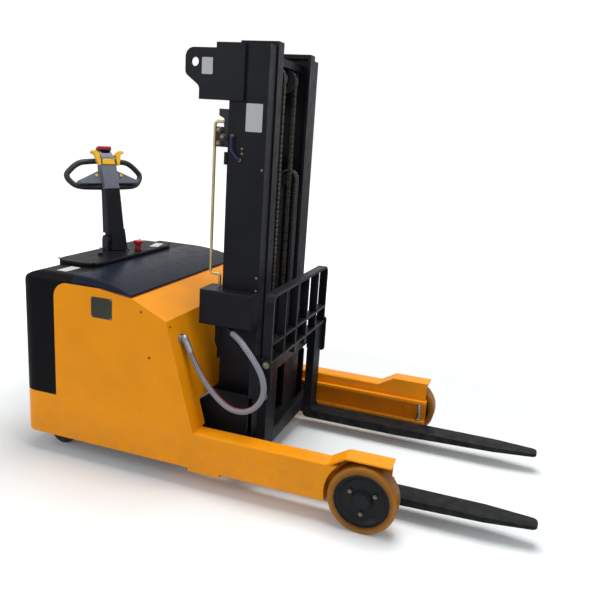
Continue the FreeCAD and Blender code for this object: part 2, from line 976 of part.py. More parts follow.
def make_power_unit():
    """Oil tank, pump motor and controller, hung under the battery tray."""
    start = tray_start + battery_margin
    tank = box(start, start + tank_length, -tank_half, tank_half, tank_bottom, tray_height)
    tank = eased(tank, battery_edge, lambda e: e.BoundBox.ZLength > tank_length / 2)
    pump_height = (tank_bottom + tray_height) / 2
    pump_start = start + tank_length
    pump = drum_x(pump_radius, pump_start, pump_start + pump_length, -pump_offset, pump_height)
    box_start = pump_start + battery_margin
    controller = box(box_start, box_start + controller_length, pump_offset / 2,
                     pump_offset / 2 + controller_width, tray_height - controller_tall, tray_height)
    return group(tank, pump, controller)


def make_reach_barrels():
    """Two reach cylinders under the battery."""
    barrel = drum_x(reach_barrel_radius, reach_barrel_start, reach_barrel_end, reach_offset, reach_height)
    bore = drum_x(reach_rod_radius + shaft_gap, reach_barrel_start + reach_barrel_floor,
                  reach_barrel_end + overrun, reach_offset, reach_height)
    return pair(barrel.cut(bore))


def make_reach_rods():
    """Rods of the reach cylinders, fixed to the reach carriage's rear beam."""
    rod = drum_x(reach_rod_radius, reach_barrel_start + reach_rod_inset, rear_beam_station,
                 reach_offset, reach_height)
    return pair(rod)


def steered(shape):
    """Piece of the steering group turned to its rest angle and set on the steering axis."""
    turned = shape.copy()
    turned.rotate(V(0, 0, 0), V(0, 0, 1), steer_rest_angle)
    turned.translate(V(steer_station, 0, 0))
    return turned


def make_drive_unit():
    """Gearbox beside the drive wheel, turntable, traction motor and brake."""
    side = gearbox_side + gearbox_wide
    section = [
        (gearbox_side, gearbox_bottom),
        (side, gearbox_bottom, gearbox_wide / 2 - slide_gap),
        (side, plate_height),
        (-bridge_back, plate_height),
        (-bridge_back, bridge_bottom, leg_edge_radius),
        (gearbox_side, bridge_bottom),
    ]
    gearbox = front_prism(section, -gearbox_half, gearbox_half)
    bore = drum_y(drive_shaft_radius + shaft_gap, 0, gearbox_side + drive_shaft_length / 2, 0, drive_radius)
    table_top = plate_top + slide_gap
    table = drum_z(turntable_radius, plate_height, table_top, 0, 0)
    lip = drum_z(turntable_radius + turntable_lip, table_top, table_top + turntable_lip_thick, 0, 0)
    gear = welded(gearbox.cut(bore), table, lip)
    motor_bottom = table_top + turntable_lip_thick
    motor = drum_z(motor_radius, motor_bottom, motor_bottom + motor_tall, 0, 0)
    brake = drum_z(brake_radius, motor_bottom + motor_tall, motor_bottom + motor_tall + brake_tall, 0, 0)
    return steered(group(gear, motor, brake))


def make_drive_wheel():
    """Drive wheel: tyre, hub and the shaft that enters the gearbox."""
    wide = drive_width / 2
    tyre = turned_y([
        (drive_hub_radius, -wide),
        (drive_radius, -wide, load_edge),
        (drive_radius, wide, load_edge),
        (drive_hub_radius, wide),
    ], 0, drive_radius)
    hub = drum_y(drive_hub_radius, -wide, wide, 0, drive_radius)
    shaft = drum_y(drive_shaft_radius, wide, gearbox_side + drive_shaft_length / 2 - sheet, 0, drive_radius)
    return steered(group(tyre, welded(hub, shaft)))


def make_caster_fork():
    """Left caster fork: swivel head and pin, two cheeks and the axle."""
    axle_x = caster_station - caster_trail
    inner = caster_width / 2 + caster_cheek_gap
    head = drum_z(caster_head_radius, caster_head_height, caster_head_height + caster_head_thick,
                  caster_station, caster_offset)
    pin = drum_z(caster_pin_radius, caster_head_height + caster_head_thick,
                 plate_height - caster_pin_length - sheet, caster_station, caster_offset)
    cheek = side_prism([
        (axle_x - caster_cheek_half, caster_radius - caster_cheek_half, caster_cheek_half - slide_gap),
        (axle_x + caster_cheek_half, caster_radius - caster_cheek_half, caster_cheek_half - slide_gap),
        (caster_station + caster_cheek_half, caster_head_height),
        (caster_station - caster_head_radius + caster_cheek, caster_head_height),
    ], caster_offset + inner, caster_offset + inner + caster_cheek)
    other = cheek.copy()
    other.translate(V(0, -2 * inner - caster_cheek, 0))
    axle = drum_y(caster_axle_radius, caster_offset - inner, caster_offset + inner, axle_x, caster_radius)
    return welded(head, pin, cheek, other, axle)


def make_caster_wheel():
    """Left caster wheel."""
    bore = caster_axle_radius + shaft_gap
    inner = caster_offset - caster_width / 2
    outer = caster_offset + caster_width / 2
    return turned_y([
        (bore, inner),
        (caster_radius, inner, caster_edge),
        (caster_radius, outer, caster_edge),
        (bore, outer),
    ], caster_station - caster_trail, caster_radius)


def make_tiller_base():
    """Steering column, turning disc, two ears and the tilt pin."""
    brake_top = plate_top + slide_gap + turntable_lip_thick + motor_tall + brake_tall
    disc_top = pivot_height - pivot_rise
    column = drum_z(column_radius, brake_top, disc_top, 0, 0)
    disc = drum_z(base_disc_radius, disc_top - base_disc_thick, disc_top, 0, 0)
    inner = pivot_barrel_half + slide_gap
    ear_half = pivot_barrel_radius + sheet / 2
    ear = side_prism([
        (-ear_half, disc_top),
        (ear_half, disc_top),
        (ear_half, pivot_height + ear_half, ear_half - slide_gap),
        (-ear_half, pivot_height + ear_half, ear_half - slide_gap),
    ], inner, inner + ear_thick)
    pin = drum_y(pivot_pin_radius, -inner - ear_thick, inner + ear_thick, 0, pivot_height)
    return steered(welded(column, disc, ear, mirrored(ear), pin))


def leaned(shape):
    """Piece of the tiller leaned back about the tilt pin, then steered."""
    tilted = shape.copy()
    tilted.rotate(V(0, 0, pivot_height), V(0, 1, 0), arm_lean)
    return steered(tilted)


def headed(shape):
    """Piece of the tiller head, set on the arm's top and leaned back with it."""
    tilted = shape.copy()
    tilted.rotate(V(0, 0, 0), V(0, 1, 0), head_lean)
    tilted.translate(V(0, 0, arm_top))
    return leaned(tilted)


def rounded_section(depth, width, height):
    """Rounded rectangle across the tiller's arm."""
    x, y = depth / 2, width / 2
    points = [(-x, -y), (x, -y), (x, y), (-x, y)]
    return outline([(V(px, py, height), arm_corner) for px, py in points])


def make_tiller_arm():
    """Tapered arm on its pivot barrel."""
    arm = Part.makeLoft([
        rounded_section(arm_bottom_depth, arm_bottom_width, arm_bottom),
        rounded_section(arm_top_depth, arm_top_width, arm_top),
    ], True, True)
    barrel = drum_y(pivot_barrel_radius, -pivot_barrel_half, pivot_barrel_half, 0, pivot_height)
    web = box(-pivot_barrel_radius, pivot_barrel_radius, -pivot_barrel_half, pivot_barrel_half,
              pivot_height, arm_bottom)
    bore = drum_y(pivot_pin_radius + shaft_gap, -arm_bottom_width, arm_bottom_width, 0, pivot_height)
    solid = welded(arm, barrel, web).cut(bore)
    wide = arm_bottom_width
    saddle = box(-wide, wide, -wide, wide, head_foot, head_height)
    saddle.rotate(V(0, 0, 0), V(0, 1, 0), head_lean)
    saddle.translate(V(0, 0, arm_top))
    return leaned(solid.cut(saddle))


def head_column():
    """Crowned middle of the tiller head, in its own frame: face to +X, top to +Z."""
    front = [
        (-head_foot_half, head_foot),
        (head_foot_half, head_foot),
        (head_waist_half, head_waist_height),
        (head_top_half, head_height, wing_corner),
        (-head_top_half, head_height, wing_corner),
        (-head_waist_half, head_waist_height),
    ]
    side = [
        (head_back, head_foot),
        (head_front, head_foot),
        (head_front, head_height - head_crown, head_crown),
        (head_front + head_back, head_height, wing_corner),
        (head_back, head_height, wing_corner),
    ]
    block = front_prism(front, head_back - overrun, head_front + overrun)
    return block.common(side_prism(side, -wing_half, wing_half))


def head_solid():
    """The tiller head's outer form: the column and the two wings beside it."""
    wings = [
        (-wing_half + wing_corner, wing_low, wing_corner),
        (wing_half - wing_corner, wing_low, wing_corner),
        (wing_half, wing_high, wing_corner),
        (wing_root_half, wing_root),
        (-wing_root_half, wing_root),
        (-wing_half, wing_high, wing_corner),
    ]
    plate = front_prism(wings, head_back, wing_front)
    rim = [e for e in plate.Edges if e.BoundBox.XLength < slide_gap]
    return welded(head_column(), plate.makeFillet(head_edge, rim))


def grip_path():
    """Route of the left grip: out of the head, round the hand and back in."""
    rise = grip_top_height - grip_bottom_height
    places = zip(grip_path_depth_shares, grip_path_half_shares, grip_path_height_shares)
    points = [V(grip_root_depth + grip_sweep * d, grip_half * a, grip_bottom_height + rise * b)
              for d, a, b in places]
    return tangent_path(points)[0]


def tangent_path(points):
    """Straight runs joined by tangent arcs, each as large as its runs allow, and the arcs' radii."""
    edges = []
    radii = []
    start = points[0]
    for before, at, after in zip(points, points[1:], points[2:]):
        half_turn = (math.pi - (before - at).getAngle(after - at)) / 2
        shorter = min(before.distanceToPoint(at), at.distanceToPoint(after))
        radius = arc_run_share * shorter / math.tan(half_turn)
        first, middle, last = corner_arc(before, at, after, radius)
        edges += [Part.LineSegment(start, first).toShape(), Part.Arc(first, middle, last).toShape()]
        radii.append(radius)
        start = last
    edges.append(Part.LineSegment(start, points[-1]).toShape())
    return Part.Wire(edges), radii


def tube_along(wire, radius, start, ahead):
    """Round bar swept along a smooth path."""
    ring = Part.Wire([Part.Circle(start, ahead, radius).toShape()])
    return wire.makePipeShell([ring], True, False)


def grip_solids():
    """Two loop grips that run from the head's top to its foot, in the head's frame."""
    path = grip_path()
    first = path.Edges[0]
    start = first.valueAt(first.FirstParameter)
    loop = tube_along(path, grip_radius, start, first.tangentAt(first.FirstParameter))
    loop = loop.cut(head_solid())
    keep = max(loop.Solids, key=lambda solid: solid.Volume)
    return pair(keep)


def throttle_bore(gap):
    """Cross bar of the throttle, or its bore when a gap is given."""
    reach = head_waist_half + throttle_gap
    return drum_y(throttle_axle_radius + gap, -reach, reach, 0, throttle_height)


def make_throttle():
    """Butterfly throttle: two horned wings in front of the grips, on a cross bar."""
    start = head_waist_half + throttle_gap
    places = zip(throttle_half_shares, throttle_height_shares)
    horn = [(start + throttle_wide * a, throttle_height + throttle_tall * b) for a, b in places]
    wing = front_prism(horn, throttle_back, throttle_front)
    hub = drum_y(throttle_hub_radius, start, start + throttle_root, 0, throttle_height)
    arm = box(0, throttle_back + slide_gap, start, start + throttle_root,
              throttle_height - throttle_axle_radius, throttle_height + throttle_axle_radius)
    side = [wing, hub, arm]
    return headed(welded(throttle_bore(0), *side, *[mirrored(shape) for shape in side]))


def belly_block(gap, bottom, top):
    """Rounded block of the belly button, or its pocket when a gap is given."""
    x, y = belly_deep / 2 + gap, belly_wide / 2 + gap
    corners = [(-x, -y), (x, -y), (x, y), (-x, y)]
    return plan_prism([(belly_depth + a, b, belly_corner) for a, b in corners], bottom, top)


def make_belly_button():
    """Red safety button on the head's end."""
    top = head_height + belly_proud
    block = belly_block(0, top - belly_tall, top)
    return headed(eased(block, belly_corner / 2, lambda e: e.BoundBox.ZMin > top - slide_gap))


def horn_block(gap, back, front):
    """Block of the horn button, or its pocket when a gap is given."""
    y, z = horn_wide / 2 + gap, horn_tall / 2 + gap
    return box(back, front, -y, y, horn_height - z, horn_height + z)


def make_horn_button():
    """Rectangular horn button on the head's face."""
    front = head_front + horn_proud
    block = horn_block(0, head_front - press_deep, front)
    return headed(eased(block, horn_proud / 2, lambda e: e.BoundBox.XMin > front - slide_gap))


def press_button(side):
    """Round button on one wing of the head's face."""
    front = wing_front + horn_proud
    button = drum_x(press_radius, wing_front - press_deep, front, side * press_offset, press_height)
    return headed(eased(button, horn_proud / 2, lambda e: e.BoundBox.XMin > front - slide_gap))


def make_tiller_head():
    """Moulded head with pockets for its buttons and the throttle's bore."""
    floor = head_front - press_deep - press_travel - slide_gap
    well = head_height + belly_proud - belly_tall - belly_travel - slide_gap
    head = head_solid()
    head = head.cut(throttle_bore(shaft_gap))
    head = head.cut(belly_block(slide_gap, well, head_height + overrun))
    head = head.cut(horn_block(slide_gap, floor, head_front + overrun))
    for side in (1, -1):
        head = head.cut(drum_x(press_radius + slide_gap, floor - head_front + wing_front,
                               wing_front + overrun, side * press_offset, press_height))
    return headed(head)


def make_console_switches():
    """Collar of the emergency stop and barrel of the key switch."""
    collar = drum_z(estop_collar_radius, console_top, console_top + estop_collar_tall,
                    estop_station, estop_offset)
    collar = collar.cut(drum_z(estop_stem_radius + slide_gap, console_top - overrun,
                               console_top + estop_collar_tall + overrun, estop_station, estop_offset))
    barrel = drum_z(key_barrel_radius, console_top, console_top + key_barrel_tall, key_station, key_offset)
    slot = box(key_station - key_thick / 2 - slide_gap, key_station + key_thick / 2 + slide_gap,
               key_offset - key_thick / 2 - slide_gap, key_offset + key_thick / 2 + slide_gap,
               console_top + key_barrel_tall / 2, console_top + key_barrel_tall + overrun)
    turn = drum_z(key_thick + slide_gap, console_top + key_barrel_tall / 2,
                  console_top + key_barrel_tall + overrun, key_station, key_offset)
    return group(collar, barrel.cut(slot).cut(turn))


def make_estop_button():
    """Red mushroom button on its stem."""
    seat = console_top + estop_collar_tall + estop_travel + slide_gap
    foot = deck_top + estop_travel + slide_gap
    stem = drum_z(estop_stem_radius, foot, seat, estop_station, estop_offset)
    cap = drum_z(estop_cap_radius, seat, seat + estop_cap_tall, estop_station, estop_offset)
    cap = eased(cap, estop_cap_edge, lambda e: e.BoundBox.ZMin > seat + estop_cap_tall - slide_gap)
    return welded(stem, cap)


def make_key():
    """Key with a flat bow, in its barrel."""
    foot = console_top + key_barrel_tall / 2 + slide_gap
    top = console_top + key_barrel_tall + key_tall
    shank = drum_z(key_thick, foot, console_top + key_barrel_tall + key_thick, key_station, key_offset)
    bow = box(key_station - key_thick / 2, key_station + key_thick / 2, key_offset - key_wide / 2,
              key_offset + key_wide / 2, console_top + key_barrel_tall + slide_gap, top)
    bow = eased(bow, key_bow_radius,
                lambda e: e.BoundBox.XLength > key_thick / 2 and e.BoundBox.ZMin > top - slide_gap)
    return welded(shank, bow)


def make_reach_carriage():
    """Wedge plates, rear beam, base plate, mast brackets and roller pins."""
    wedge = side_prism([
        (wedge_rear, wedge_bottom, wedge_corner),
        (wedge_front, wedge_bottom),
        (wedge_front, wedge_top, wedge_corner),
        (wedge_knee, wedge_top, wedge_corner),
        (wedge_rear, wedge_rear_top, wedge_corner),
    ], wedge_inner, wedge_outer)
    bracket = box(mast_rear + bracket_margin, mast_front - bracket_margin, mast_half, wedge_inner,
                  bracket_bottom, bracket_top)
    pins = [drum_y(reach_pin_radius, wedge_outer, leg_inner + rail_gap, x, rail_middle)
            for x in (reach_roller_rear, reach_roller_front)]
    side = [wedge, bracket] + pins
    skirt = box(mast_rear, wedge_front, wedge_inner, wedge_outer, base_bottom, wedge_bottom)
    beam = box(rear_beam_station, rear_beam_station + rear_beam_length, -wedge_inner, wedge_inner,
               rear_beam_bottom, rear_beam_top)
    base = box(mast_rear, wedge_front, -wedge_inner, wedge_inner, base_bottom, mast_foot)
    both = side + [skirt]
    return welded(base, beam, *both, *[mirrored(shape) for shape in both])


def make_reach_rollers():
    """Four rollers that run in the leg rails."""
    inner = leg_inner + rail_gap
    rollers = []
    for x in (reach_roller_rear, reach_roller_front):
        roller = turned_y([
            (0, inner),
            (reach_roller_radius, inner, reach_roller_edge),
            (reach_roller_radius, inner + reach_roller_width, reach_roller_edge),
            (0, inner + reach_roller_width),
        ], x, rail_middle)
        rollers.append(pair(roller))
    return group(*rollers)


def make_outer_rails():
    """Outer mast: two channels that open towards each other, with a groove along the rear."""
    groove = mast_rear + groove_wide
    skin = mast_half - groove_deep
    web = mast_half - rail_wall
    section = [
        (mast_rear, outer_tip),
        (mast_rear + rail_wall, outer_tip),
        (mast_rear + rail_wall, web),
        (mast_front - rail_wall, web),
        (mast_front - rail_wall, outer_tip),
        (mast_front, outer_tip),
        (mast_front, mast_half),
        (groove, mast_half),
        (groove, skin),
        (mast_rear, skin),
    ]
    return pair(plan_prism(section, mast_foot, mast_top))


def make_outer_ties():
    """Rear ties of the outer mast, cylinder shelf and clamps, lug plates and their shelf."""
    rear = mast_rear - tie_thick
    thin = mast_rear - clamp_thick
    low = box(rear, mast_rear, -mast_half, mast_half, mast_foot, low_tie_top)
    mid = side_prism([
        (rear + mid_tie_chamfer, mid_tie_bottom),
        (mast_rear, mid_tie_bottom),
        (mast_rear, mid_tie_top),
        (rear, mid_tie_top),
        (rear, mid_tie_bottom + mid_tie_step_high),
        (rear + mid_tie_chamfer, mid_tie_bottom + mid_tie_step_low),
    ], -mast_half, mast_half)
    top = box(thin, mast_rear, -mast_half, mast_half, top_tie_bottom, mast_top)
    shelf = box(mast_rear, shelf_front, -shelf_half, shelf_half, mast_foot, mast_foot + shelf_thick)
    hose_x = saddle_station - saddle_bend_radius
    terminal = box(hose_x - hose_terminal_wide / 2, hose_x + hose_terminal_wide / 2,
                   mast_hose_offset - hose_terminal_half, mast_hose_offset + hose_terminal_half,
                   mast_foot, hose_terminal_top)
    foot = welded(low, shelf, terminal)
    clamp = box(thin, mast_rear, -mast_half, mast_half, clamp_bottom, clamp_bottom + clamp_tall)
    ear = box(mast_rear, shelf_front, chain_offset - chain_width / 2, shelf_half,
              ear_bottom, ear_bottom + ear_tall)
    ear = ear.cut(drum_z(cylinder_radius, ear_bottom - overrun, ear_bottom + ear_tall + overrun,
                         cylinder_station, cylinder_offset))
    clamps = welded(clamp, ear, mirrored(ear))
    lug_shelf = box(lug_shelf_station, mast_rear, -mast_half, mast_half,
                    mast_top - lug_shelf_thick, mast_top)
    lug = make_lug_plate()
    return group(foot, mid, clamps, welded(top, lug_shelf, lug, mirrored(lug)))


def make_lug_plate():
    """Left lifting lug: a plate with a rounded nose and an eye."""
    plate = side_prism([
        (lug_heel, lug_bottom),
        (lug_front, lug_bottom),
        (lug_front, mast_top),
        (lug_shelf_station, mast_top),
        (lug_shelf_station, lug_crest),
        (lug_nose, lug_crest, lug_nose_radius),
        (lug_nose, (lug_eye_height + lug_neck_height) / 2, lug_neck_radius),
        (lug_heel, lug_neck_height, lug_neck_radius),
    ], mast_half, mast_half + lug_thick)
    eye = drum_y(lug_eye_radius, mast_half - overrun, mast_half + lug_thick + overrun,
                 lug_eye_station, lug_eye_height)
    return plate.cut(eye)


def make_outer_rollers():
    """Two rollers at the outer mast's top that guide the inner rails, on their pins."""
    start = inner_web_outer + roller_side_gap
    roller = drum_y(inner_roller_radius, start, start + slim_roller_width, inner_middle, top_roller_height)
    pin = drum_y(mast_pin_radius, start + slim_roller_width, mast_half - rail_wall,
                 inner_middle, top_roller_height)
    return pair(welded(roller, pin))


def make_lift_barrels():
    """Two lift cylinders that stand on the shelf inside the mast."""
    foot = mast_foot + shelf_thick
    barrel = drum_z(cylinder_radius, foot, cylinder_top, cylinder_station, cylinder_offset)
    bore = drum_z(lift_rod_radius + shaft_gap, foot + cylinder_floor, cylinder_top + overrun,
                  cylinder_station, cylinder_offset)
    return pair(barrel.cut(bore))


def make_lift_rods():
    """Rods of the lift cylinders, which push the crosshead."""
    foot = mast_foot + shelf_thick + cylinder_floor + slide_gap
    return pair(drum_z(lift_rod_radius, foot, crosshead_bottom, cylinder_station, cylinder_offset))


def make_inner_rails():
    """Inner mast: two I rails nested between the outer channels."""
    section = [
        (inner_rear, inner_tip),
        (inner_rear + rail_wall, inner_tip),
        (inner_rear + rail_wall, inner_web_inner),
        (inner_front - rail_wall, inner_web_inner),
        (inner_front - rail_wall, inner_tip),
        (inner_front, inner_tip),
        (inner_front, inner_outer),
        (inner_front - rail_wall, inner_outer),
        (inner_front - rail_wall, inner_web_outer),
        (inner_rear + rail_wall, inner_web_outer),
        (inner_rear + rail_wall, inner_outer),
        (inner_rear, inner_outer),
    ]
    return pair(plan_prism(section, inner_bottom, mast_top))


def make_inner_crosshead():
    """Cap and beam over the inner rails, lower tie, pulley hangers and the hose saddle's strap."""
    cap = box(cap_rear, inner_front, inner_tip, inner_outer, mast_top, mast_top + cap_thick)
    beam = box(crosshead_rear, crosshead_front, -inner_tip, inner_tip, crosshead_bottom, crosshead_top)
    tongue = box(inner_rear + rail_wall, crosshead_front, -inner_web_inner, inner_web_inner,
                 crosshead_bottom, crosshead_top)
    hangers = []
    for middle in (chain_offset - chain_width, chain_offset + chain_width):
        hanger = box(pulley_station - hanger_half, pulley_station + hanger_half, middle - hanger_thick / 2,
                     middle + hanger_thick / 2, pulley_height - hanger_half, crosshead_bottom)
        hangers += [hanger, mirrored(hanger)]
    axle = drum_y(pulley_axle_radius, -chain_offset - chain_width, chain_offset + chain_width,
                  pulley_station, pulley_height)
    side = mast_hose_offset + hose_terminal_half
    strap = box(saddle_station - saddle_strap_wide, crosshead_front, side, side + saddle_strap_thick,
                saddle_height - saddle_strap_wide, crosshead_bottom)
    saddle = drum_y(saddle_bend_radius - mast_hose_radius - slide_gap,
                    mast_hose_offset - hose_terminal_half, side, saddle_station, saddle_height)
    head = welded(beam, tongue, axle, strap, saddle, *hangers)
    tie_rear = mast_rear + inner_tie_gap
    tie_front = tie_rear + inner_tie_thick
    tie = box(tie_rear, tie_front, -inner_outer, inner_outer, inner_tie_bottom, inner_tie_top)
    lug = box(tie_front, inner_rear, inner_tip, inner_outer, inner_tie_bottom, inner_tie_top)
    return group(head, pair(cap), welded(tie, lug, mirrored(lug)))


def make_inner_rollers():
    """Two rollers at the inner rails' feet that run in the outer channels, on their pins."""
    start = outer_tip + stage_gap
    roller = drum_y(outer_roller_radius, start, start + mast_roller_width, outer_middle, low_roller_height)
    pin = drum_y(mast_pin_radius, inner_web_outer, start, outer_middle, low_roller_height)
    return pair(welded(roller, pin))


def make_chain_pulleys():
    """Two grooved pulleys that turn on the crosshead's axle."""
    bore = pulley_axle_radius + shaft_gap
    root = chain_radius - chain_pin_half - slide_gap
    groove = chain_width / 2 + slide_gap
    side = groove + pulley_wall
    pulley = turned_y([
        (bore, chain_offset - side),
        (pulley_flange_radius, chain_offset - side),
        (pulley_flange_radius, chain_offset - groove),
        (root, chain_offset - groove),
        (root, chain_offset + groove),
        (pulley_flange_radius, chain_offset + groove),
        (pulley_flange_radius, chain_offset + side),
        (bore, chain_offset + side),
    ], pulley_station, pulley_height)
    return pair(pulley)


def chain_run(station, bottom, top):
    """Straight leaf chain: link plates waisted between their pins."""
    count = int((top - bottom) / chain_pitch)
    pitch = (top - bottom) / count
    front = []
    for i in range(count):
        z = bottom + pitch * i
        front.append((chain_waist_half, z))
        front += [(chain_pin_half, z + pitch * share) for share in chain_pin_shares]
    front.append((chain_waist_half, top))
    points = [(station + x, z) for x, z in front] + [(station - x, z) for x, z in reversed(front)]
    return side_prism(points, chain_offset - chain_width / 2, chain_offset + chain_width / 2)


def make_chain_front():
    """Lift chains from the pulleys down to the fork carriage."""
    return pair(chain_run(pulley_station + chain_radius, anchor_top, pulley_height))


def make_chain_rear():
    """Lift chains from the clamps up and over the pulleys."""
    run = chain_run(pulley_station - chain_radius, ear_bottom + ear_tall, pulley_height)
    low, high = chain_offset - chain_width / 2, chain_offset + chain_width / 2
    wrap = turned_y([
        (chain_radius - chain_waist_half, low),
        (chain_radius + chain_waist_half, low),
        (chain_radius + chain_waist_half, high),
        (chain_radius - chain_waist_half, high),
    ], pulley_station, pulley_height)
    over = box(pulley_station - chain_radius - overrun, pulley_station + chain_radius + overrun, low, high,
               pulley_height, pulley_height + chain_radius + overrun)
    return pair(welded(run, wrap.common(over)))


def mast_hose_offsets():
    """Offsets of the two mast hoses, side by side."""
    return [mast_hose_offset - mast_hose_pitch / 2, mast_hose_offset + mast_hose_pitch / 2]


def make_mast_hoses_front():
    """Hoses from the saddle down to the fork carriage."""
    station = saddle_station + saddle_bend_radius
    return group(*[drum_z(mast_hose_radius, carriage_terminal_top, saddle_height, station, y)
                   for y in mast_hose_offsets()])


def make_mast_hoses_rear():
    """Hoses from the mast's foot up and over the saddle."""
    hoses = []
    for y in mast_hose_offsets():
        run = drum_z(mast_hose_radius, hose_terminal_top, saddle_height,
                     saddle_station - saddle_bend_radius, y)
        centre = V(saddle_station + saddle_bend_radius, y, saddle_height)
        ring = Part.Face(Part.Wire([Part.Circle(centre, V(0, 0, 1), mast_hose_radius).toShape()]))
        bend = ring.revolve(V(saddle_station, 0, saddle_height), V(0, -1, 0), 180)
        hoses.append(welded(run, bend))
    return group(*hoses)


def make_fork_carriage():
    """Roller plates, cross plate, fork bars, end plates, chain anchors and roller pins."""
    side = box(roller_plate_rear, bar_rear, roller_plate_inner, roller_plate_outer, cross_plate_bottom,
               roller_plate_top)
    cross = box(bar_rear - cross_plate_thick, bar_rear, -roller_plate_inner, roller_plate_inner,
                cross_plate_bottom, cross_plate_top)
    window = box(bar_rear - cross_plate_thick - overrun, bar_rear + overrun, -window_half, window_half,
                 window_bottom, window_top)
    bars = []
    for bottom in (low_bar_bottom, high_bar_bottom):
        bar = box(bar_rear, bar_front, -bar_half, bar_half, bottom, bottom + bar_tall)
        bars.append(eased(bar, bar_edge,
                          lambda e: e.BoundBox.YLength > bar_half and e.BoundBox.XMin > bar_rear))
    plate = side_prism([
        (bar_rear, end_plate_bottom),
        (end_plate_front, end_plate_bottom, wedge_corner),
        (end_plate_front, end_plate_top, wedge_corner),
        (bar_rear, end_plate_top),
    ], bar_half, bar_half + end_plate_thick)
    outer = bar_half + end_plate_thick
    bolts = [drum_y(end_plate_bolt_radius, outer, outer + end_plate_bolt_head,
                    end_plate_front - end_plate_bolt_inset, z)
             for z in (end_plate_bottom + end_plate_bolt_inset, end_plate_top - end_plate_bolt_inset)]
    chain_front = pulley_station + chain_radius
    anchor = box(chain_front - chain_width / 2, bar_rear - cross_plate_thick, chain_offset - chain_width / 2,
                 chain_offset + chain_width / 2, anchor_top - anchor_tall, anchor_top)
    pins = [drum_y(mast_pin_radius, roller_plate_outer, inner_tip + roller_side_gap, inner_middle, z)
            for z in (carriage_low_roller, carriage_top_roller)]
    hose_front = saddle_station + saddle_bend_radius
    terminal = box(hose_front - mast_hose_radius, bar_rear - cross_plate_thick,
                   mast_hose_offset - hose_terminal_half, mast_hose_offset + hose_terminal_half,
                   cross_plate_bottom, carriage_terminal_top)
    both = [side, plate, anchor] + bolts + pins
    return welded(cross.cut(window), terminal, *bars, *both, *[mirrored(shape) for shape in both])


def make_carriage_rollers():
    """Four rollers of the fork carriage in the inner rails."""
    start = inner_tip + roller_side_gap
    rollers = [pair(drum_y(inner_roller_radius, start, start + slim_roller_width, inner_middle, z))
               for z in (carriage_low_roller, carriage_top_roller)]
    return group(*rollers)


def make_backrest():
    """Load backrest: top, middle and bottom rails with uprights and feet on the upper bar."""
    rear = guard_front - guard_deep
    rails = [box(rear, guard_front, -bar_half, bar_half, z - guard_bar, z)
             for z in (guard_top, guard_mid_height, guard_low_height + guard_bar)]
    places = [share * bar_half for share in guard_upright_shares] + [bar_half - guard_bar / 2]
    posts = []
    for y in places:
        post = box(rear, guard_front, y - guard_bar / 2, y + guard_bar / 2, guard_low_height, guard_top)
        posts += [post, mirrored(post)]
    foot_y = places[0]
    foot = box(bar_front - guard_bar, guard_front, foot_y - guard_bar / 2, foot_y + guard_bar / 2,
               high_bar_top, guard_low_height)
    frame = welded(rails[0], rails[1], rails[2], foot, mirrored(foot), *posts)
    return eased(frame, guard_edge,
                 lambda e: e.BoundBox.ZMin > guard_top - slide_gap and e.BoundBox.YLength > bar_half)


def make_fork(side):
    """Hook-on fork: shank, heel, tapered blade with a rounded tip and two hooks."""
    tip = fork_face + fork_length
    bottom = fork_top - fork_thick
    top = high_bar_top + hook_gap + hook_thick
    hook_rear = bar_front - hook_deep
    low_hook = low_bar_bottom - hook_gap
    outline_points = [
        (fork_back, bottom, fork_heel_radius),
        (fork_face + fork_length * fork_taper_share, bottom),
        (tip, fork_top - fork_tip_thick),
        (tip, fork_top),
        (fork_face, fork_top, fork_heel_radius),
        (fork_face, top, bar_edge),
        (hook_rear, top, bar_edge),
        (hook_rear, high_bar_top + hook_gap),
        (fork_back, high_bar_top + hook_gap),
        (fork_back, low_hook),
        (hook_rear, low_hook),
        (hook_rear, low_hook - hook_thick),
        (fork_back, low_hook - hook_thick),
    ]
    blade = side_prism(outline_points, -fork_width / 2, fork_width / 2)
    plan = plan_prism([
        (bar_rear, -fork_width / 2),
        (tip - fork_tip_length, -fork_width / 2),
        (tip, -fork_tip_half, fork_tip_radius),
        (tip, fork_tip_half, fork_tip_radius),
        (tip - fork_tip_length, fork_width / 2),
        (bar_rear, fork_width / 2),
    ], bottom - overrun, top + overrun)
    fork = blade.common(plan)
    fork.translate(V(0, side * fork_centre, 0))
    return fork


def make_hose_box():
    """Cover on the right rail where the reach hose meets the mast, with the hose's gland."""
    plan = [
        (hose_box_rear, -hose_box_side),
        (mast_front, -hose_box_side),
        (mast_front, -mast_half),
        (mast_rear, -mast_half),
        (mast_rear, -hose_box_inner),
        (hose_box_rear, -hose_box_inner),
    ]
    cover = plan_prism(plan, hose_box_bottom, hose_box_top)
    cover = eased(cover, hose_box_edge, lambda e: e.BoundBox.YMax < -hose_box_side + slide_gap)
    before, end = route_points()[-2:]
    ahead = (end - before).normalize()
    gland = Part.makeCylinder(hose_gland_radius, hose_gland_long, end, ahead)
    ball = Part.makeSphere(hose_gland_ball, end + ahead * hose_gland_long)
    return welded(cover, gland, ball)


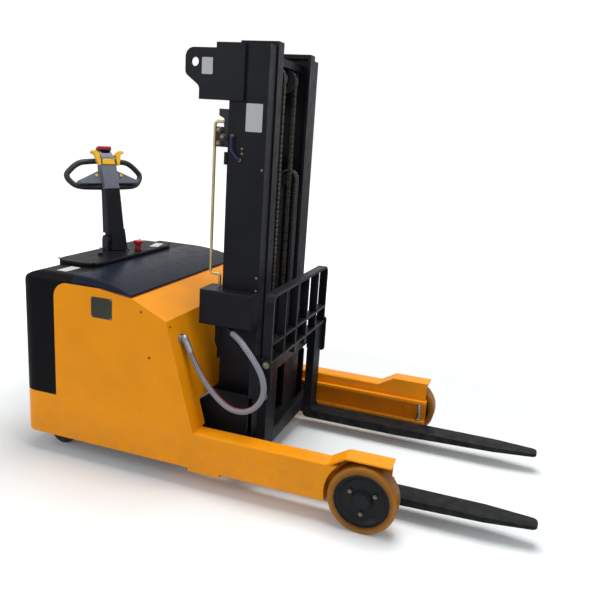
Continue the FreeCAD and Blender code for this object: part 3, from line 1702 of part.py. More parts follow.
def make_supply_pipe():
    """Zinc pipe from the valve block down to the hose box."""
    points = [
        V(pipe_block_station, -pipe_offset, valve_top),
        V(pipe_block_station, -pipe_offset, pipe_arch_top),
        V(pipe_station, -pipe_offset, pipe_arch_top),
        V(pipe_station, -pipe_offset, pipe_step_height),
        V(pipe_block_station, -pipe_offset, pipe_step_height),
        V(pipe_block_station, -pipe_offset, hose_box_top),
    ]
    edges = []
    start = points[0]
    for before, at, after in zip(points, points[1:], points[2:]):
        first, middle, last = corner_arc(before, at, after, pipe_bend_radius)
        edges += [Part.LineSegment(start, first).toShape(), Part.Arc(first, middle, last).toShape()]
        start = last
    edges.append(Part.LineSegment(start, points[-1]).toShape())
    return tube_along(Part.Wire(edges), pipe_radius, points[0], V(0, 0, 1))


def make_valve_block():
    """Valve block with fittings on a tab behind the right rail."""
    block = box(valve_rear, mast_rear, -valve_outer, -valve_inner, valve_bottom, valve_top)
    block = eased(block, valve_edge,
                  lambda e: e.BoundBox.YLength > valve_edge and e.BoundBox.XMax < mast_rear)
    tab = side_prism([
        (valve_rear + valve_tab_neck, valve_top),
        (mast_rear, valve_top),
        (mast_rear, valve_tab_top),
        (valve_rear + valve_tab_inset, valve_tab_top),
        (valve_rear + valve_tab_inset, valve_tab_top - valve_tab_lip),
        (valve_rear + valve_tab_neck, valve_tab_top - valve_tab_drop),
    ], -valve_outer, -valve_outer + valve_tab_thick)
    fittings = []
    spacing = (valve_top - valve_bottom) / fitting_count
    for i in range(fitting_count):
        z = valve_bottom + spacing * (i + 0.5)
        fittings.append(drum_y(fitting_radius, -valve_outer - fitting_long, -valve_outer,
                               valve_rear + (mast_rear - valve_rear) * (i % 2 + 1) / fitting_count, z))
    return welded(block, tab, *fittings)


def hose_knee():
    """Where the fitting on the front plate bends down."""
    return hose_hole_point() + front_normal() * hose_boss_long


def route_points():
    """Points of the reach hose's route: offsets follow the body's half width, heights its hole."""
    return [V(x, -half * side, hose_hole_height * rise)
            for x, side, rise in zip(hose_stations, hose_offset_shares, hose_height_shares)]


def hose_points():
    """Corners of the reach hose's route, from its ferrule's end to the gland."""
    route = route_points()
    ahead = (route[0] - hose_knee()).normalize()
    return [hose_knee() + ahead * ferrule_long] + route


def make_hose_elbow():
    """Boss on the front plate and the bent ferrule that the reach hose hangs from."""
    at = hose_hole_point()
    normal = front_normal()
    knee = hose_knee()
    end = hose_points()[0]
    neck = Part.makeCylinder(hose_hole_radius, hose_boss_long + sheet, at - normal * sheet, normal)
    flange = Part.makeCylinder(hose_boss_radius, sheet, at, normal)
    ball = Part.makeSphere(hose_hole_radius, knee)
    ferrule = Part.makeCylinder(ferrule_radius, knee.distanceToPoint(end), knee, end - knee)
    return welded(neck, flange, ball, ferrule)


def make_reach_hose():
    """Looped hose that lets the mast roll forward."""
    points = hose_points()
    wire, radii = tangent_path(points)
    hose = tube_along(wire, hose_radius, points[0], points[1] - points[0])
    plain = math.pi * hose_radius ** 2 * wire.Length
    print("reach hose bend radii", [round(r) for r in radii])
    print("reach hose length", round(wire.Length), "volume share", round(hose.Volume / plain, 4))
    return hose


def all_nodes():
    """Every node of the part by name."""
    leg = make_leg()
    hardware = make_leg_hardware()
    tyre, hub = make_load_tyre(), make_load_hub()
    caster_fork, caster_wheel = make_caster_fork(), make_caster_wheel()
    return {
        "body_shell": make_body_shell(),
        "left_leg": leg,
        "right_leg": mirrored(leg),
        "leg_hardware": pair(hardware),
        "rear_cover": make_rear_cover(),
        "hood": make_hood(),
        "console": make_console(),
        "inner_frame": make_inner_frame(),
        "battery": make_battery(),
        "power_unit": make_power_unit(),
        "reach_barrels": make_reach_barrels(),
        "console_switches": make_console_switches(),
        "hose_elbow": make_hose_elbow(),
        "reach_hose": make_reach_hose(),
        "left_load_tyre": tyre,
        "right_load_tyre": mirrored(tyre),
        "left_load_hub": hub,
        "right_load_hub": mirrored(hub),
        "drive_unit": make_drive_unit(),
        "tiller_base": make_tiller_base(),
        "drive_wheel": make_drive_wheel(),
        "left_caster_fork": caster_fork,
        "right_caster_fork": mirrored(caster_fork),
        "left_caster_wheel": caster_wheel,
        "right_caster_wheel": mirrored(caster_wheel),
        "tiller_arm": make_tiller_arm(),
        "tiller_head": make_tiller_head(),
        "tiller_grips": headed(grip_solids()),
        "throttle_wings": make_throttle(),
        "belly_button": make_belly_button(),
        "horn_button": make_horn_button(),
        "lift_button": press_button(1),
        "lower_button": press_button(-1),
        "estop_button": make_estop_button(),
        "key": make_key(),
        "reach_carriage": make_reach_carriage(),
        "reach_rollers": make_reach_rollers(),
        "reach_rods": make_reach_rods(),
        "outer_rails": make_outer_rails(),
        "outer_ties": make_outer_ties(),
        "outer_rollers": make_outer_rollers(),
        "lift_barrels": make_lift_barrels(),
        "hose_box": make_hose_box(),
        "supply_pipe": make_supply_pipe(),
        "valve_block": make_valve_block(),
        "inner_rails": make_inner_rails(),
        "inner_crosshead": make_inner_crosshead(),
        "inner_rollers": make_inner_rollers(),
        "lift_rods": make_lift_rods(),
        "chain_pulleys": make_chain_pulleys(),
        "lift_chain_front": make_chain_front(),
        "lift_chain_rear": make_chain_rear(),
        "mast_hoses_front": make_mast_hoses_front(),
        "mast_hoses_rear": make_mast_hoses_rear(),
        "fork_carriage": make_fork_carriage(),
        "carriage_rollers": make_carriage_rollers(),
        "backrest": make_backrest(),
        "left_fork": make_fork(1),
        "right_fork": make_fork(-1),
    }


os.makedirs("parts", exist_ok=True)
nodes = all_nodes()
extent = Part.makeCompound(list(nodes.values())).optimalBoundingBox(False)
middle_station = (extent.XMin + extent.XMax) / 2
print("middle station", round(middle_station, 3))
for name, shape in nodes.items():
    placed = shape.copy()
    placed.translate(V(-middle_station, 0, 0))
    placed.exportStep(os.path.join("parts", name + ".step"))
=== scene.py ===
import logging
import math
from dataclasses import dataclass
from enum import Enum
from functools import lru_cache, partial, reduce
from itertools import accumulate
from typing import Iterable, Sequence

import bmesh
import bpy
from bmesh.types import BMesh, BMFace, BMVert
from bpy.types import Material, Mesh, Node, NodeSocket as Socket, Object
from mathutils import Color, Matrix, Vector


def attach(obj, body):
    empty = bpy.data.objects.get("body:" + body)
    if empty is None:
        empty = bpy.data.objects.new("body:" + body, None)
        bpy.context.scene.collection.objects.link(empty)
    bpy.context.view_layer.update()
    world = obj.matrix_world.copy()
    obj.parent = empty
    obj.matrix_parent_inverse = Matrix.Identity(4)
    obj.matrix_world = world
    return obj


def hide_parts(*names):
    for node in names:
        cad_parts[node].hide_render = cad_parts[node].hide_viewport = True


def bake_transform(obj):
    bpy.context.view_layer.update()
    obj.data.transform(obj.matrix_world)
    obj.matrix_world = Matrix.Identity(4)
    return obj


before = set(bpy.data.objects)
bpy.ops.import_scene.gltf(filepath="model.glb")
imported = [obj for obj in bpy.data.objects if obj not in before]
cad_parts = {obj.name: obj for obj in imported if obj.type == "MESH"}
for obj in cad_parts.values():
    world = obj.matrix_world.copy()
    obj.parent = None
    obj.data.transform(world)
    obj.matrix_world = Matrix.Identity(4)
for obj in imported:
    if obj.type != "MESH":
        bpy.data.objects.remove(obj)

# Looks of a pedestrian reach stacker. Places are given as stations in millimetres forward of the
# truck's rear face, offsets to its left and heights, and are turned into the frame's metres by spot().

log = logging.getLogger("stacker")
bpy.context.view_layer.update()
STATION_ORIGIN = 1057.887
MM = 0.001
SEAM_M = 1e-7
SHARP_TURN = math.radians(38)
QUARTER = math.pi / 2
FULL_TURN = 2 * math.pi
LINE_STEPS = 12
WHITE = (1.0, 1.0, 1.0, 1.0)
NO_SHIFT = (0.0, 0.0, 0.0)
UPRIGHT = (QUARTER, 0.0, 0.0)

Colour = tuple[int, int, int]
Flat = tuple[float, float]
Place = tuple[float, float, float]
Inputs = dict[str | int, object]


def spot(place: Place) -> Vector:
    """Point of the frame, in metres, from a station, an offset and a height in millimetres."""
    return Vector(((place[0] - STATION_ORIGIN) * MM, place[1] * MM, place[2] * MM))


def spots(places: Iterable[Place]) -> list[Vector]:
    """Points of the frame for several places."""
    return [spot(place) for place in places]


def on_side(y: float, flats: Iterable[Flat]) -> tuple[Place, ...]:
    """Places on an upright face at one offset, from their stations and heights."""
    return tuple((x, y, z) for x, z in flats)


def arc(middle: Flat, radius: float, steps: int, start: float = 0.0, sweep: float = QUARTER) -> list[Flat]:
    """Points round a part of a circle, from a start angle through a sweep, with both ends."""
    turns = [start + sweep * step / steps for step in range(steps + 1)]
    return [(middle[0] + radius * math.cos(turn), middle[1] + radius * math.sin(turn)) for turn in turns]


def circle(sides: int) -> list[Flat]:
    """Corners of a round of radius 1."""
    return arc((0.0, 0.0), 1.0, sides, sweep=FULL_TURN)[:-1]


def shifted(lengths_mm: Place) -> Matrix:
    """Shift by three lengths."""
    return Matrix.Translation([length * MM for length in lengths_mm])


def swung(degrees: float, axis: str) -> Matrix:
    """Turn about an axis."""
    return Matrix.Rotation(math.radians(degrees), 4, axis)


def linear(colour: Colour) -> tuple[float, float, float, float]:
    """Linear red, green, blue and an alpha of 1, from a display's values of 0 to 255."""
    return (*Color([value / 255 for value in colour]).from_srgb_to_scene_linear(), 1.0)


class Surface(Enum):
    """What a finish shows beside its tone and grain."""

    PLAIN = "plain"
    BRAID = "braid"
    TYRE = "tyre"


@dataclass(frozen=True)
class Finish:
    """A finish with its tone, gloss, grain, worn edges and settled dust."""

    name: str
    colour: Colour
    roughness: float
    slot: str = ""
    surface: Surface = Surface.PLAIN
    metallic: float = 0.0
    coat: float = 0.0
    specular: float = 0.3
    grain_mm: float = 1.6
    grain_depth: float = 0.10
    tone_share: float = 0.12
    edge_mm: float = 1.6
    wear_share: float = 0.0
    wear_colour: Colour = (150, 150, 150)
    dust_share: float = 0.0

    @lru_cache(maxsize=None)
    def material(self) -> Material:
        """The finish as a material, built at its first use."""
        return PAINTERS[self.surface](self).build()


class Nodes:
    """A node tree that is built in code."""

    def __init__(self, tree: bpy.types.NodeTree) -> None:
        """Takes the tree to build in."""
        self.tree = tree

    def feed(self, node: Node, inputs: Inputs) -> None:
        """Sets a node's inputs, or links sockets to them.

        Args:
            node: The node.
            inputs: Values or sockets by input name or index.
        """
        for name, value in inputs.items():
            if isinstance(value, Socket):
                self.tree.links.new(value, node.inputs[name])
            else:
                node.inputs[name].default_value = value

    def node(self, kind: str, inputs: Inputs | None = None, **settings: object) -> Node:
        """Adds a node.

        Args:
            kind: The node's type.
            inputs: Values or sockets by input name or index.
            settings: The node's own properties.

        Returns:
            The new node.
        """
        made = self.tree.nodes.new(kind)
        for name, value in settings.items():
            setattr(made, name, value)
        self.feed(made, inputs or {})
        return made

    def out(self, kind: str, inputs: Inputs | None = None, **settings: object) -> Socket:
        """Adds a node and gives its first output."""
        return self.node(kind, inputs, **settings).outputs[0]

    def maths(self, operation: str, *values: object) -> Socket:
        """Result of a sum on a value or two."""
        return self.out("ShaderNodeMath", dict(enumerate(values)), operation=operation)

    def folded(self, operation: str, *values: object) -> Socket:
        """Result of a sum that is carried through several values."""
        return reduce(partial(self.maths, operation), values)

    def measured(self, operation: str, *vectors: object) -> Socket:
        """Number that a sum on vectors gives."""
        made = self.node("ShaderNodeVectorMath", dict(enumerate(vectors)), operation=operation)
        return made.outputs["Value"]

    def parts(self, vector: Socket) -> list[Socket]:
        """The three parts of a vector."""
        return list(self.node("ShaderNodeSeparateXYZ", {0: vector}).outputs)

    def ramp(self, value: Socket, low: float, high: float, start: float = 0.0, end: float = 1.0) -> Socket:
        """Value spread from one span to another, held at the ends."""
        spans = {"Value": value, "From Min": low, "From Max": high, "To Min": start, "To Max": end}
        return self.node("ShaderNodeMapRange", spans).outputs["Result"]

    def mixed(self, share: Socket, first: object, second: object) -> Socket:
        """Colour between two colours."""
        return self.node("ShaderNodeMix", {0: share, 6: first, 7: second}, data_type="RGBA").outputs[2]


class Painter(Nodes):
    """Builds one finish's material, on the piece's own coordinates."""

    tone_mm: float = 160.0
    tone_span: Flat = (0.3, 0.7)
    wear_mm: float = 14.0
    wear_span: Flat = (0.45, 0.62)
    edge_span: Flat = (0.995, 0.90)
    dust_mm: float = 45.0
    dust_detail: float = 5.0
    dust_span: Flat = (0.35, 0.75)
    dust_heights_m: Flat = (0.28, 0.04)
    dust_colour: Colour = (132, 120, 104)
    gloss_mm: float = 38.0
    gloss_detail: float = 4.0
    gloss_shares: Flat = (0.86, 1.16)
    coat_roughness: float = 0.12
    grain_detail: float = 2.0
    grain_m: float = 0.0006

    def __init__(self, finish: Finish) -> None:
        """Starts a material.

        Args:
            finish: What to build.
        """
        self.finish = finish
        self.made = bpy.data.materials.new(finish.name + "_finish")
        self.made.use_nodes = True
        super().__init__(self.made.node_tree)
        self.where = self.node("ShaderNodeTexCoord").outputs["Object"]
        self.soft = self.out("ShaderNodeBevel", {"Radius": finish.edge_mm * MM})

    def noise(self, size_mm: float, detail: float) -> Socket:
        """Noise of a given feature size, 0 to 1."""
        inputs = {"Vector": self.where, "Scale": 1 / MM / size_mm, "Detail": detail}
        return self.node("ShaderNodeTexNoise", inputs).outputs["Fac"]

    def blotches(self, size_mm: float, span: Flat, detail: float = 3.0, ends: Flat = (0.0, 1.0)) -> Socket:
        """Noise of a given feature size, spread from a span to two ends."""
        return self.ramp(self.noise(size_mm, detail), *span, *ends)

    def wear(self) -> Socket:
        """How far the outer edges are worn.

        Returns:
            A share, 0 on the faces.
        """
        true = self.node("ShaderNodeNewGeometry").outputs["True Normal"]
        edge = self.ramp(self.measured("DOT_PRODUCT", self.soft, true), *self.edge_span)
        spread = self.blotches(self.wear_mm, self.wear_span)
        return self.folded("MULTIPLY", edge, spread, self.finish.wear_share)

    def dust(self) -> Socket:
        """How much dust lies on the low parts.

        Returns:
            A share.
        """
        low = self.ramp(self.parts(self.where)[2], *self.dust_heights_m)
        spread = self.blotches(self.dust_mm, self.dust_span, self.dust_detail)
        return self.folded("MULTIPLY", low, spread, self.finish.dust_share)

    def colours(self) -> Socket:
        """Tone, worn edges and dust laid over the finish's colour.

        Returns:
            The colour.
        """
        finish = self.finish
        ends = [(*[min(part * (1 + share), 1.0) for part in linear(finish.colour)[:3]], 1.0)
                for share in (-finish.tone_share, finish.tone_share)]
        colour = self.mixed(self.blotches(self.tone_mm, self.tone_span), *ends)
        if finish.wear_share:
            colour = self.mixed(self.wear(), colour, linear(finish.wear_colour))
        if finish.dust_share:
            colour = self.mixed(self.dust(), colour, linear(self.dust_colour))
        return colour

    def build(self) -> Material:
        """Lays the whole finish.

        Returns:
            The finished material.
        """
        finish = self.finish
        bump = {"Strength": finish.grain_depth, "Distance": self.grain_m, "Normal": self.soft,
                "Height": self.noise(finish.grain_mm, self.grain_detail)}
        rough = [min(finish.roughness * share, 1.0) for share in self.gloss_shares]
        self.feed(self.tree.nodes["Principled BSDF"], {
            "Normal": self.out("ShaderNodeBump", bump),
            "Base Color": self.colours(),
            "Roughness": self.blotches(self.gloss_mm, self.tone_span, self.gloss_detail, rough),
            "Metallic": finish.metallic,
            "Coat Weight": finish.coat,
            "Coat Roughness": self.coat_roughness,
            "Specular IOR Level": finish.specular,
        })
        return self.made


class BraidPainter(Painter):
    """Builds the woven cover of the reach hose, which follows the hose's own map."""

    strands_round: float = 7.0
    strand_mm: float = 9.0
    crest: float = 0.5
    weave_span: Flat = (0.05, 0.6)
    pale: Colour = (178, 182, 193)
    dark: Colour = (92, 96, 112)
    line: Colour = (150, 52, 46)
    line_middle: float = 0.62
    line_share: float = 0.055

    def colours(self) -> Socket:
        """Crossing strands with a thin coloured line along the hose.

        Returns:
            The colour.
        """
        along, around, _ = self.parts(self.out("ShaderNodeUVMap"))
        run = self.maths("MULTIPLY", along, 1 / MM / self.strand_mm)
        waves = []
        for strands in (self.strands_round, -self.strands_round):
            phase = self.maths("ADD", run, self.maths("MULTIPLY", around, strands))
            waves.append(self.maths("PINGPONG", phase, self.crest))
        weave = self.folded("MULTIPLY", *waves, 1 / self.crest ** 2)
        colour = self.mixed(self.ramp(weave, *self.weave_span), linear(self.dark), linear(self.pale))
        off = self.maths("ABSOLUTE", self.maths("SUBTRACT", around, self.line_middle))
        return self.mixed(self.maths("LESS_THAN", off, self.line_share), colour, linear(self.line))


class TyrePainter(Painter):
    """Builds the load tyres' urethane, which is darker towards the hub and has painted shade on the tread."""

    axle_mm: Place = (1545.0, 0.0, 133.5)
    wheel_plane: Place = (1.0, 0.0, 1.0)
    hub_span_m: Flat = (0.123, 0.107)
    hub_share: float = 0.78
    tread_span_m: Flat = (0.1295, 0.1334)
    tread_shade_share: float = 0.45
    smear_mm: float = 22.0
    smear_detail: float = 4.0
    smear_span: Flat = (0.25, 0.65)
    smear_shares: Flat = (0.55, 1.0)
    grime_and_shade: Colour = (52, 38, 26)

    def colours(self) -> Socket:
        """Darkening by the distance from the axle, laid over the plain finish: darker towards the hub, and
        painted shade on the tread, broken up by smears.

        Returns:
            The colour.
        """
        side = self.out("ShaderNodeVectorMath", {0: self.where, 1: self.wheel_plane}, operation="MULTIPLY")
        reach = self.measured("DISTANCE", side, spot(self.axle_mm))
        hub = self.ramp(reach, *self.hub_span_m, 0.0, self.hub_share)
        # Painted shade: the tread darkens towards the tyre's outer edge, as if the fender shaded it.
        tread = self.ramp(reach, *self.tread_span_m, 0.0, self.tread_shade_share)
        smear = self.blotches(self.smear_mm, self.smear_span, self.smear_detail, self.smear_shares)
        share = self.maths("MULTIPLY", self.maths("MAXIMUM", hub, tread), smear)
        return self.mixed(share, super().colours(), linear(self.grime_and_shade))


PAINTERS: dict[Surface, type[Painter]] = {
    Surface.PLAIN: Painter,
    Surface.BRAID: BraidPainter,
    Surface.TYRE: TyrePainter,
}

BODY_PAINT = Finish(
    "body_paint", (242, 152, 10), 0.38, "body_paint", specular=0.14, grain_mm=2.6, grain_depth=0.05,
    tone_share=0.05, wear_share=0.3, wear_colour=(236, 168, 70), dust_share=0.25)
COVER_BLACK = Finish(
    "cover_black", (18, 18, 20), 0.42, "dark_cover", specular=0.04, grain_mm=1.2, grain_depth=0.14,
    tone_share=0.06, edge_mm=3.0, wear_share=0.25, wear_colour=(58, 60, 66))
HOOD_BLUE = Finish(
    "hood_blue", (21, 26, 40), 0.34, "dark_cover", specular=0.05, grain_mm=1.2, grain_depth=0.12,
    tone_share=0.05, edge_mm=3.0, wear_share=0.25, wear_colour=(66, 70, 82))
MAST_BLACK = Finish(
    "mast_black", (23, 24, 30), 0.44, "black_paint", specular=0.12, grain_mm=2.2, grain_depth=0.09,
    tone_share=0.18, wear_share=0.45, wear_colour=(66, 64, 64), dust_share=0.1)
FORK_BLACK = Finish(
    "fork_black", (23, 27, 31), 0.46, "black_paint", specular=0.05, grain_mm=2.6, grain_depth=0.08,
    tone_share=0.16, wear_share=0.6, wear_colour=(84, 85, 88), dust_share=0.12)
ARM_BLACK = Finish(
    "arm_black", (26, 29, 33), 0.5, "black_plastic", specular=0.14, grain_mm=1.0, grain_depth=0.18,
    wear_share=0.3, wear_colour=(60, 62, 66))
HEAD_GREY = Finish(
    "head_grey", (102, 108, 120), 0.5, "head_grey", grain_mm=1.0, grain_depth=0.16, edge_mm=2.4,
    wear_share=0.35, wear_colour=(118, 122, 130))
GRIP_BLACK = Finish(
    "grip_black", (34, 35, 37), 0.5, "grip_rubber", specular=0.35, grain_mm=1.4, grain_depth=0.22)
SIGNAL_YELLOW = Finish(
    "signal_yellow", (238, 184, 44), 0.38, "signal_yellow", grain_mm=1.0, grain_depth=0.08, tone_share=0.06)
SIGNAL_RED = Finish(
    "signal_red", (168, 18, 34), 0.34, "signal_red", coat=0.1, grain_mm=1.0, grain_depth=0.06,
    tone_share=0.08)
CAP_RED = Finish(
    "cap_red", (132, 14, 34), 0.4, "signal_red", grain_mm=1.0, grain_depth=0.08, tone_share=0.08)
TYRE_URETHANE = Finish(
    "tyre_urethane", (160, 103, 20), 0.46, "tyre_urethane", Surface.TYRE, specular=0.2, grain_mm=5.0,
    tone_share=0.18, wear_share=0.6, wear_colour=(116, 78, 38), dust_share=0.2)
TYRE_BLACK = Finish(
    "tyre_black", (34, 33, 32), 0.7, "tyre_black", grain_mm=3.0, grain_depth=0.2, dust_share=0.5)
HUB_BLACK = Finish(
    "hub_black", (26, 28, 31), 0.44, "hub_black", specular=0.14, grain_mm=3.0, grain_depth=0.16,
    wear_share=0.4, wear_colour=(64, 66, 68))
BRIGHT_STEEL = Finish(
    "bright_steel", (176, 176, 174), 0.3, "steel", metallic=1.0, grain_mm=1.2, grain_depth=0.06)
ROLLER_STEEL = Finish(
    "roller_steel", (92, 92, 92), 0.36, "steel", metallic=0.9, grain_depth=0.08, tone_share=0.2)
WORN_STEEL = Finish(
    "worn_steel", (118, 108, 96), 0.42, "steel", metallic=0.8, grain_depth=0.12, tone_share=0.25)
CRIMP_STEEL = Finish(
    "crimp_steel", (150, 152, 160), 0.34, "steel", metallic=0.7, grain_mm=1.2, grain_depth=0.12,
    tone_share=0.15)
CHAIN_STEEL = Finish(
    "chain_steel", (82, 77, 70), 0.38, "chain_steel", metallic=0.85, grain_mm=2.0, tone_share=0.3,
    edge_mm=0.5)
ROD_CHROME = Finish(
    "rod_chrome", (190, 191, 194), 0.14, "rod_chrome", metallic=1.0, grain_depth=0.02, tone_share=0.03)
ZINC_YELLOW = Finish(
    "zinc_yellow", (188, 168, 122), 0.36, "zinc_yellow", metallic=0.7, grain_mm=3.0, grain_depth=0.06,
    tone_share=0.2)
VALVE_ALLOY = Finish(
    "valve_alloy", (34, 35, 36), 0.44, "valve_alloy", metallic=0.3, grain_mm=2.0, grain_depth=0.2,
    wear_share=0.6, wear_colour=(104, 102, 96))
HOSE_BLACK = Finish(
    "hose_black", (32, 33, 37), 0.42, "hose_black", grain_mm=1.5, grain_depth=0.12, tone_share=0.2,
    edge_mm=0.6)
HOSE_BRAID = Finish(
    "hose_braid", (140, 143, 150), 0.5, "hose_grey", Surface.BRAID, grain_mm=1.4, grain_depth=0.25,
    edge_mm=0.8)
BATTERY_CASE = Finish("battery_case", (38, 41, 50), 0.55, "battery_case")
HIDDEN_METAL = Finish("hidden_metal", (32, 32, 34), 0.5, "hidden_metal", tone_share=0.15, dust_share=0.4)
PLATE_PALE = Finish("plate_pale", (184, 185, 188), 0.4, grain_depth=0.04, tone_share=0.05, edge_mm=0.4)
PLATE_DARK = Finish(
    "plate_dark", (52, 54, 46), 0.4, metallic=0.3, grain_mm=2.0, edge_mm=0.6, wear_share=0.8,
    wear_colour=(140, 140, 134))
WIRE_BLUE = Finish("wire_blue", (38, 42, 84), 0.45, grain_mm=1.0, grain_depth=0.08)
SEAL_RED = Finish("seal_red", (92, 18, 16), 0.5)
SCREW_BRONZE = Finish("screw_bronze", (150, 92, 30), 0.5, metallic=0.2, grain_mm=1.2)
SEAM_BLACK = Finish("seam_black", (12, 12, 13), 0.7)

NODE_FINISHES: dict[Finish, str] = {
    BODY_PAINT: "body_shell left_leg right_leg",
    COVER_BLACK: "rear_cover console",
    HOOD_BLUE: "hood",
    MAST_BLACK: "reach_carriage outer_rails outer_ties hose_box inner_rails inner_crosshead fork_carriage "
                "backrest tiller_base lift_barrels",
    FORK_BLACK: "left_fork right_fork",
    ARM_BLACK: "tiller_arm console_switches",
    HEAD_GREY: "tiller_head",
    GRIP_BLACK: "tiller_grips",
    SIGNAL_YELLOW: "throttle_wings horn_button lift_button lower_button",
    SIGNAL_RED: "belly_button estop_button",
    TYRE_URETHANE: "left_load_tyre right_load_tyre",
    TYRE_BLACK: "drive_wheel left_caster_wheel right_caster_wheel",
    HUB_BLACK: "left_load_hub right_load_hub",
    BRIGHT_STEEL: "leg_hardware key",
    ROLLER_STEEL: "reach_rollers outer_rollers inner_rollers carriage_rollers chain_pulleys",
    CHAIN_STEEL: "lift_chain_front lift_chain_rear",
    ROD_CHROME: "reach_rods lift_rods",
    ZINC_YELLOW: "supply_pipe",
    CRIMP_STEEL: "hose_elbow",
    VALVE_ALLOY: "valve_block",
    HOSE_BLACK: "mast_hoses_front mast_hoses_rear",
    BATTERY_CASE: "battery",
    HIDDEN_METAL: "inner_frame power_unit reach_barrels drive_unit left_caster_fork right_caster_fork",
}


def dress_nodes() -> None:
    """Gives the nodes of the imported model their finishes. A piece stands for the reach hose."""
    for finish, names in NODE_FINISHES.items():
        for name in names.split():
            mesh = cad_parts[name].data
            mesh.materials.clear()
            mesh.materials.append(finish.material())
            log.info("node %s wears %s", name, finish.name)


def linked(name: str, data: bpy.types.ID) -> Object:
    """New object in the scene.

    Args:
        name: Its name.
        data: Its mesh, curve, lamp or camera.

    Returns:
        The object.
    """
    made = bpy.data.objects.new(name, data)
    bpy.context.scene.collection.objects.link(made)
    return made


def piece(name: str, mesh: Mesh, finish: Finish, body: str = "", node: str = "") -> Object:
    """A finished piece of the scene.

    Args:
        name: The piece's name.
        mesh: Its mesh, in the frame.
        finish: What it wears.
        body: The body that it rides on, if it doesn't bend between two.
        node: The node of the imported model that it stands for, if any.

    Returns:
        The linked object.
    """
    made = linked(name, mesh)
    mesh.shade_smooth()
    mesh.set_sharp_from_angle(angle=SHARP_TURN)
    if not mesh.materials:
        mesh.materials.append(finish.material())
    if body:
        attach(made, body)
    if node:
        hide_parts(node)
    log.info("piece %s: %d faces", name, len(mesh.polygons))
    return made


def settled(data: bpy.types.ID, kind: str = "", settings: dict[str, object] | None = None,
            sizes: dict[str, float] | None = None) -> Mesh:
    """Plain mesh of a curve, or of a mesh with one modifier.

    Args:
        data: The curve or mesh.
        kind: The modifier's type, if there is one.
        settings: The modifier's properties.
        sizes: The inputs of its node tree, by their identifiers.

    Returns:
        The mesh as it evaluates.
    """
    holder = linked("form", data)
    if kind:
        work = holder.modifiers.new("work", kind)
        for name, value in (settings or {}).items():
            setattr(work, name, value)
        for identifier, value in (sizes or {}).items():
            work[identifier] = value
    made = bpy.data.meshes.new_from_object(holder.evaluated_get(bpy.context.evaluated_depsgraph_get()))
    holder.modifiers.clear()
    bpy.data.objects.remove(holder)
    return made


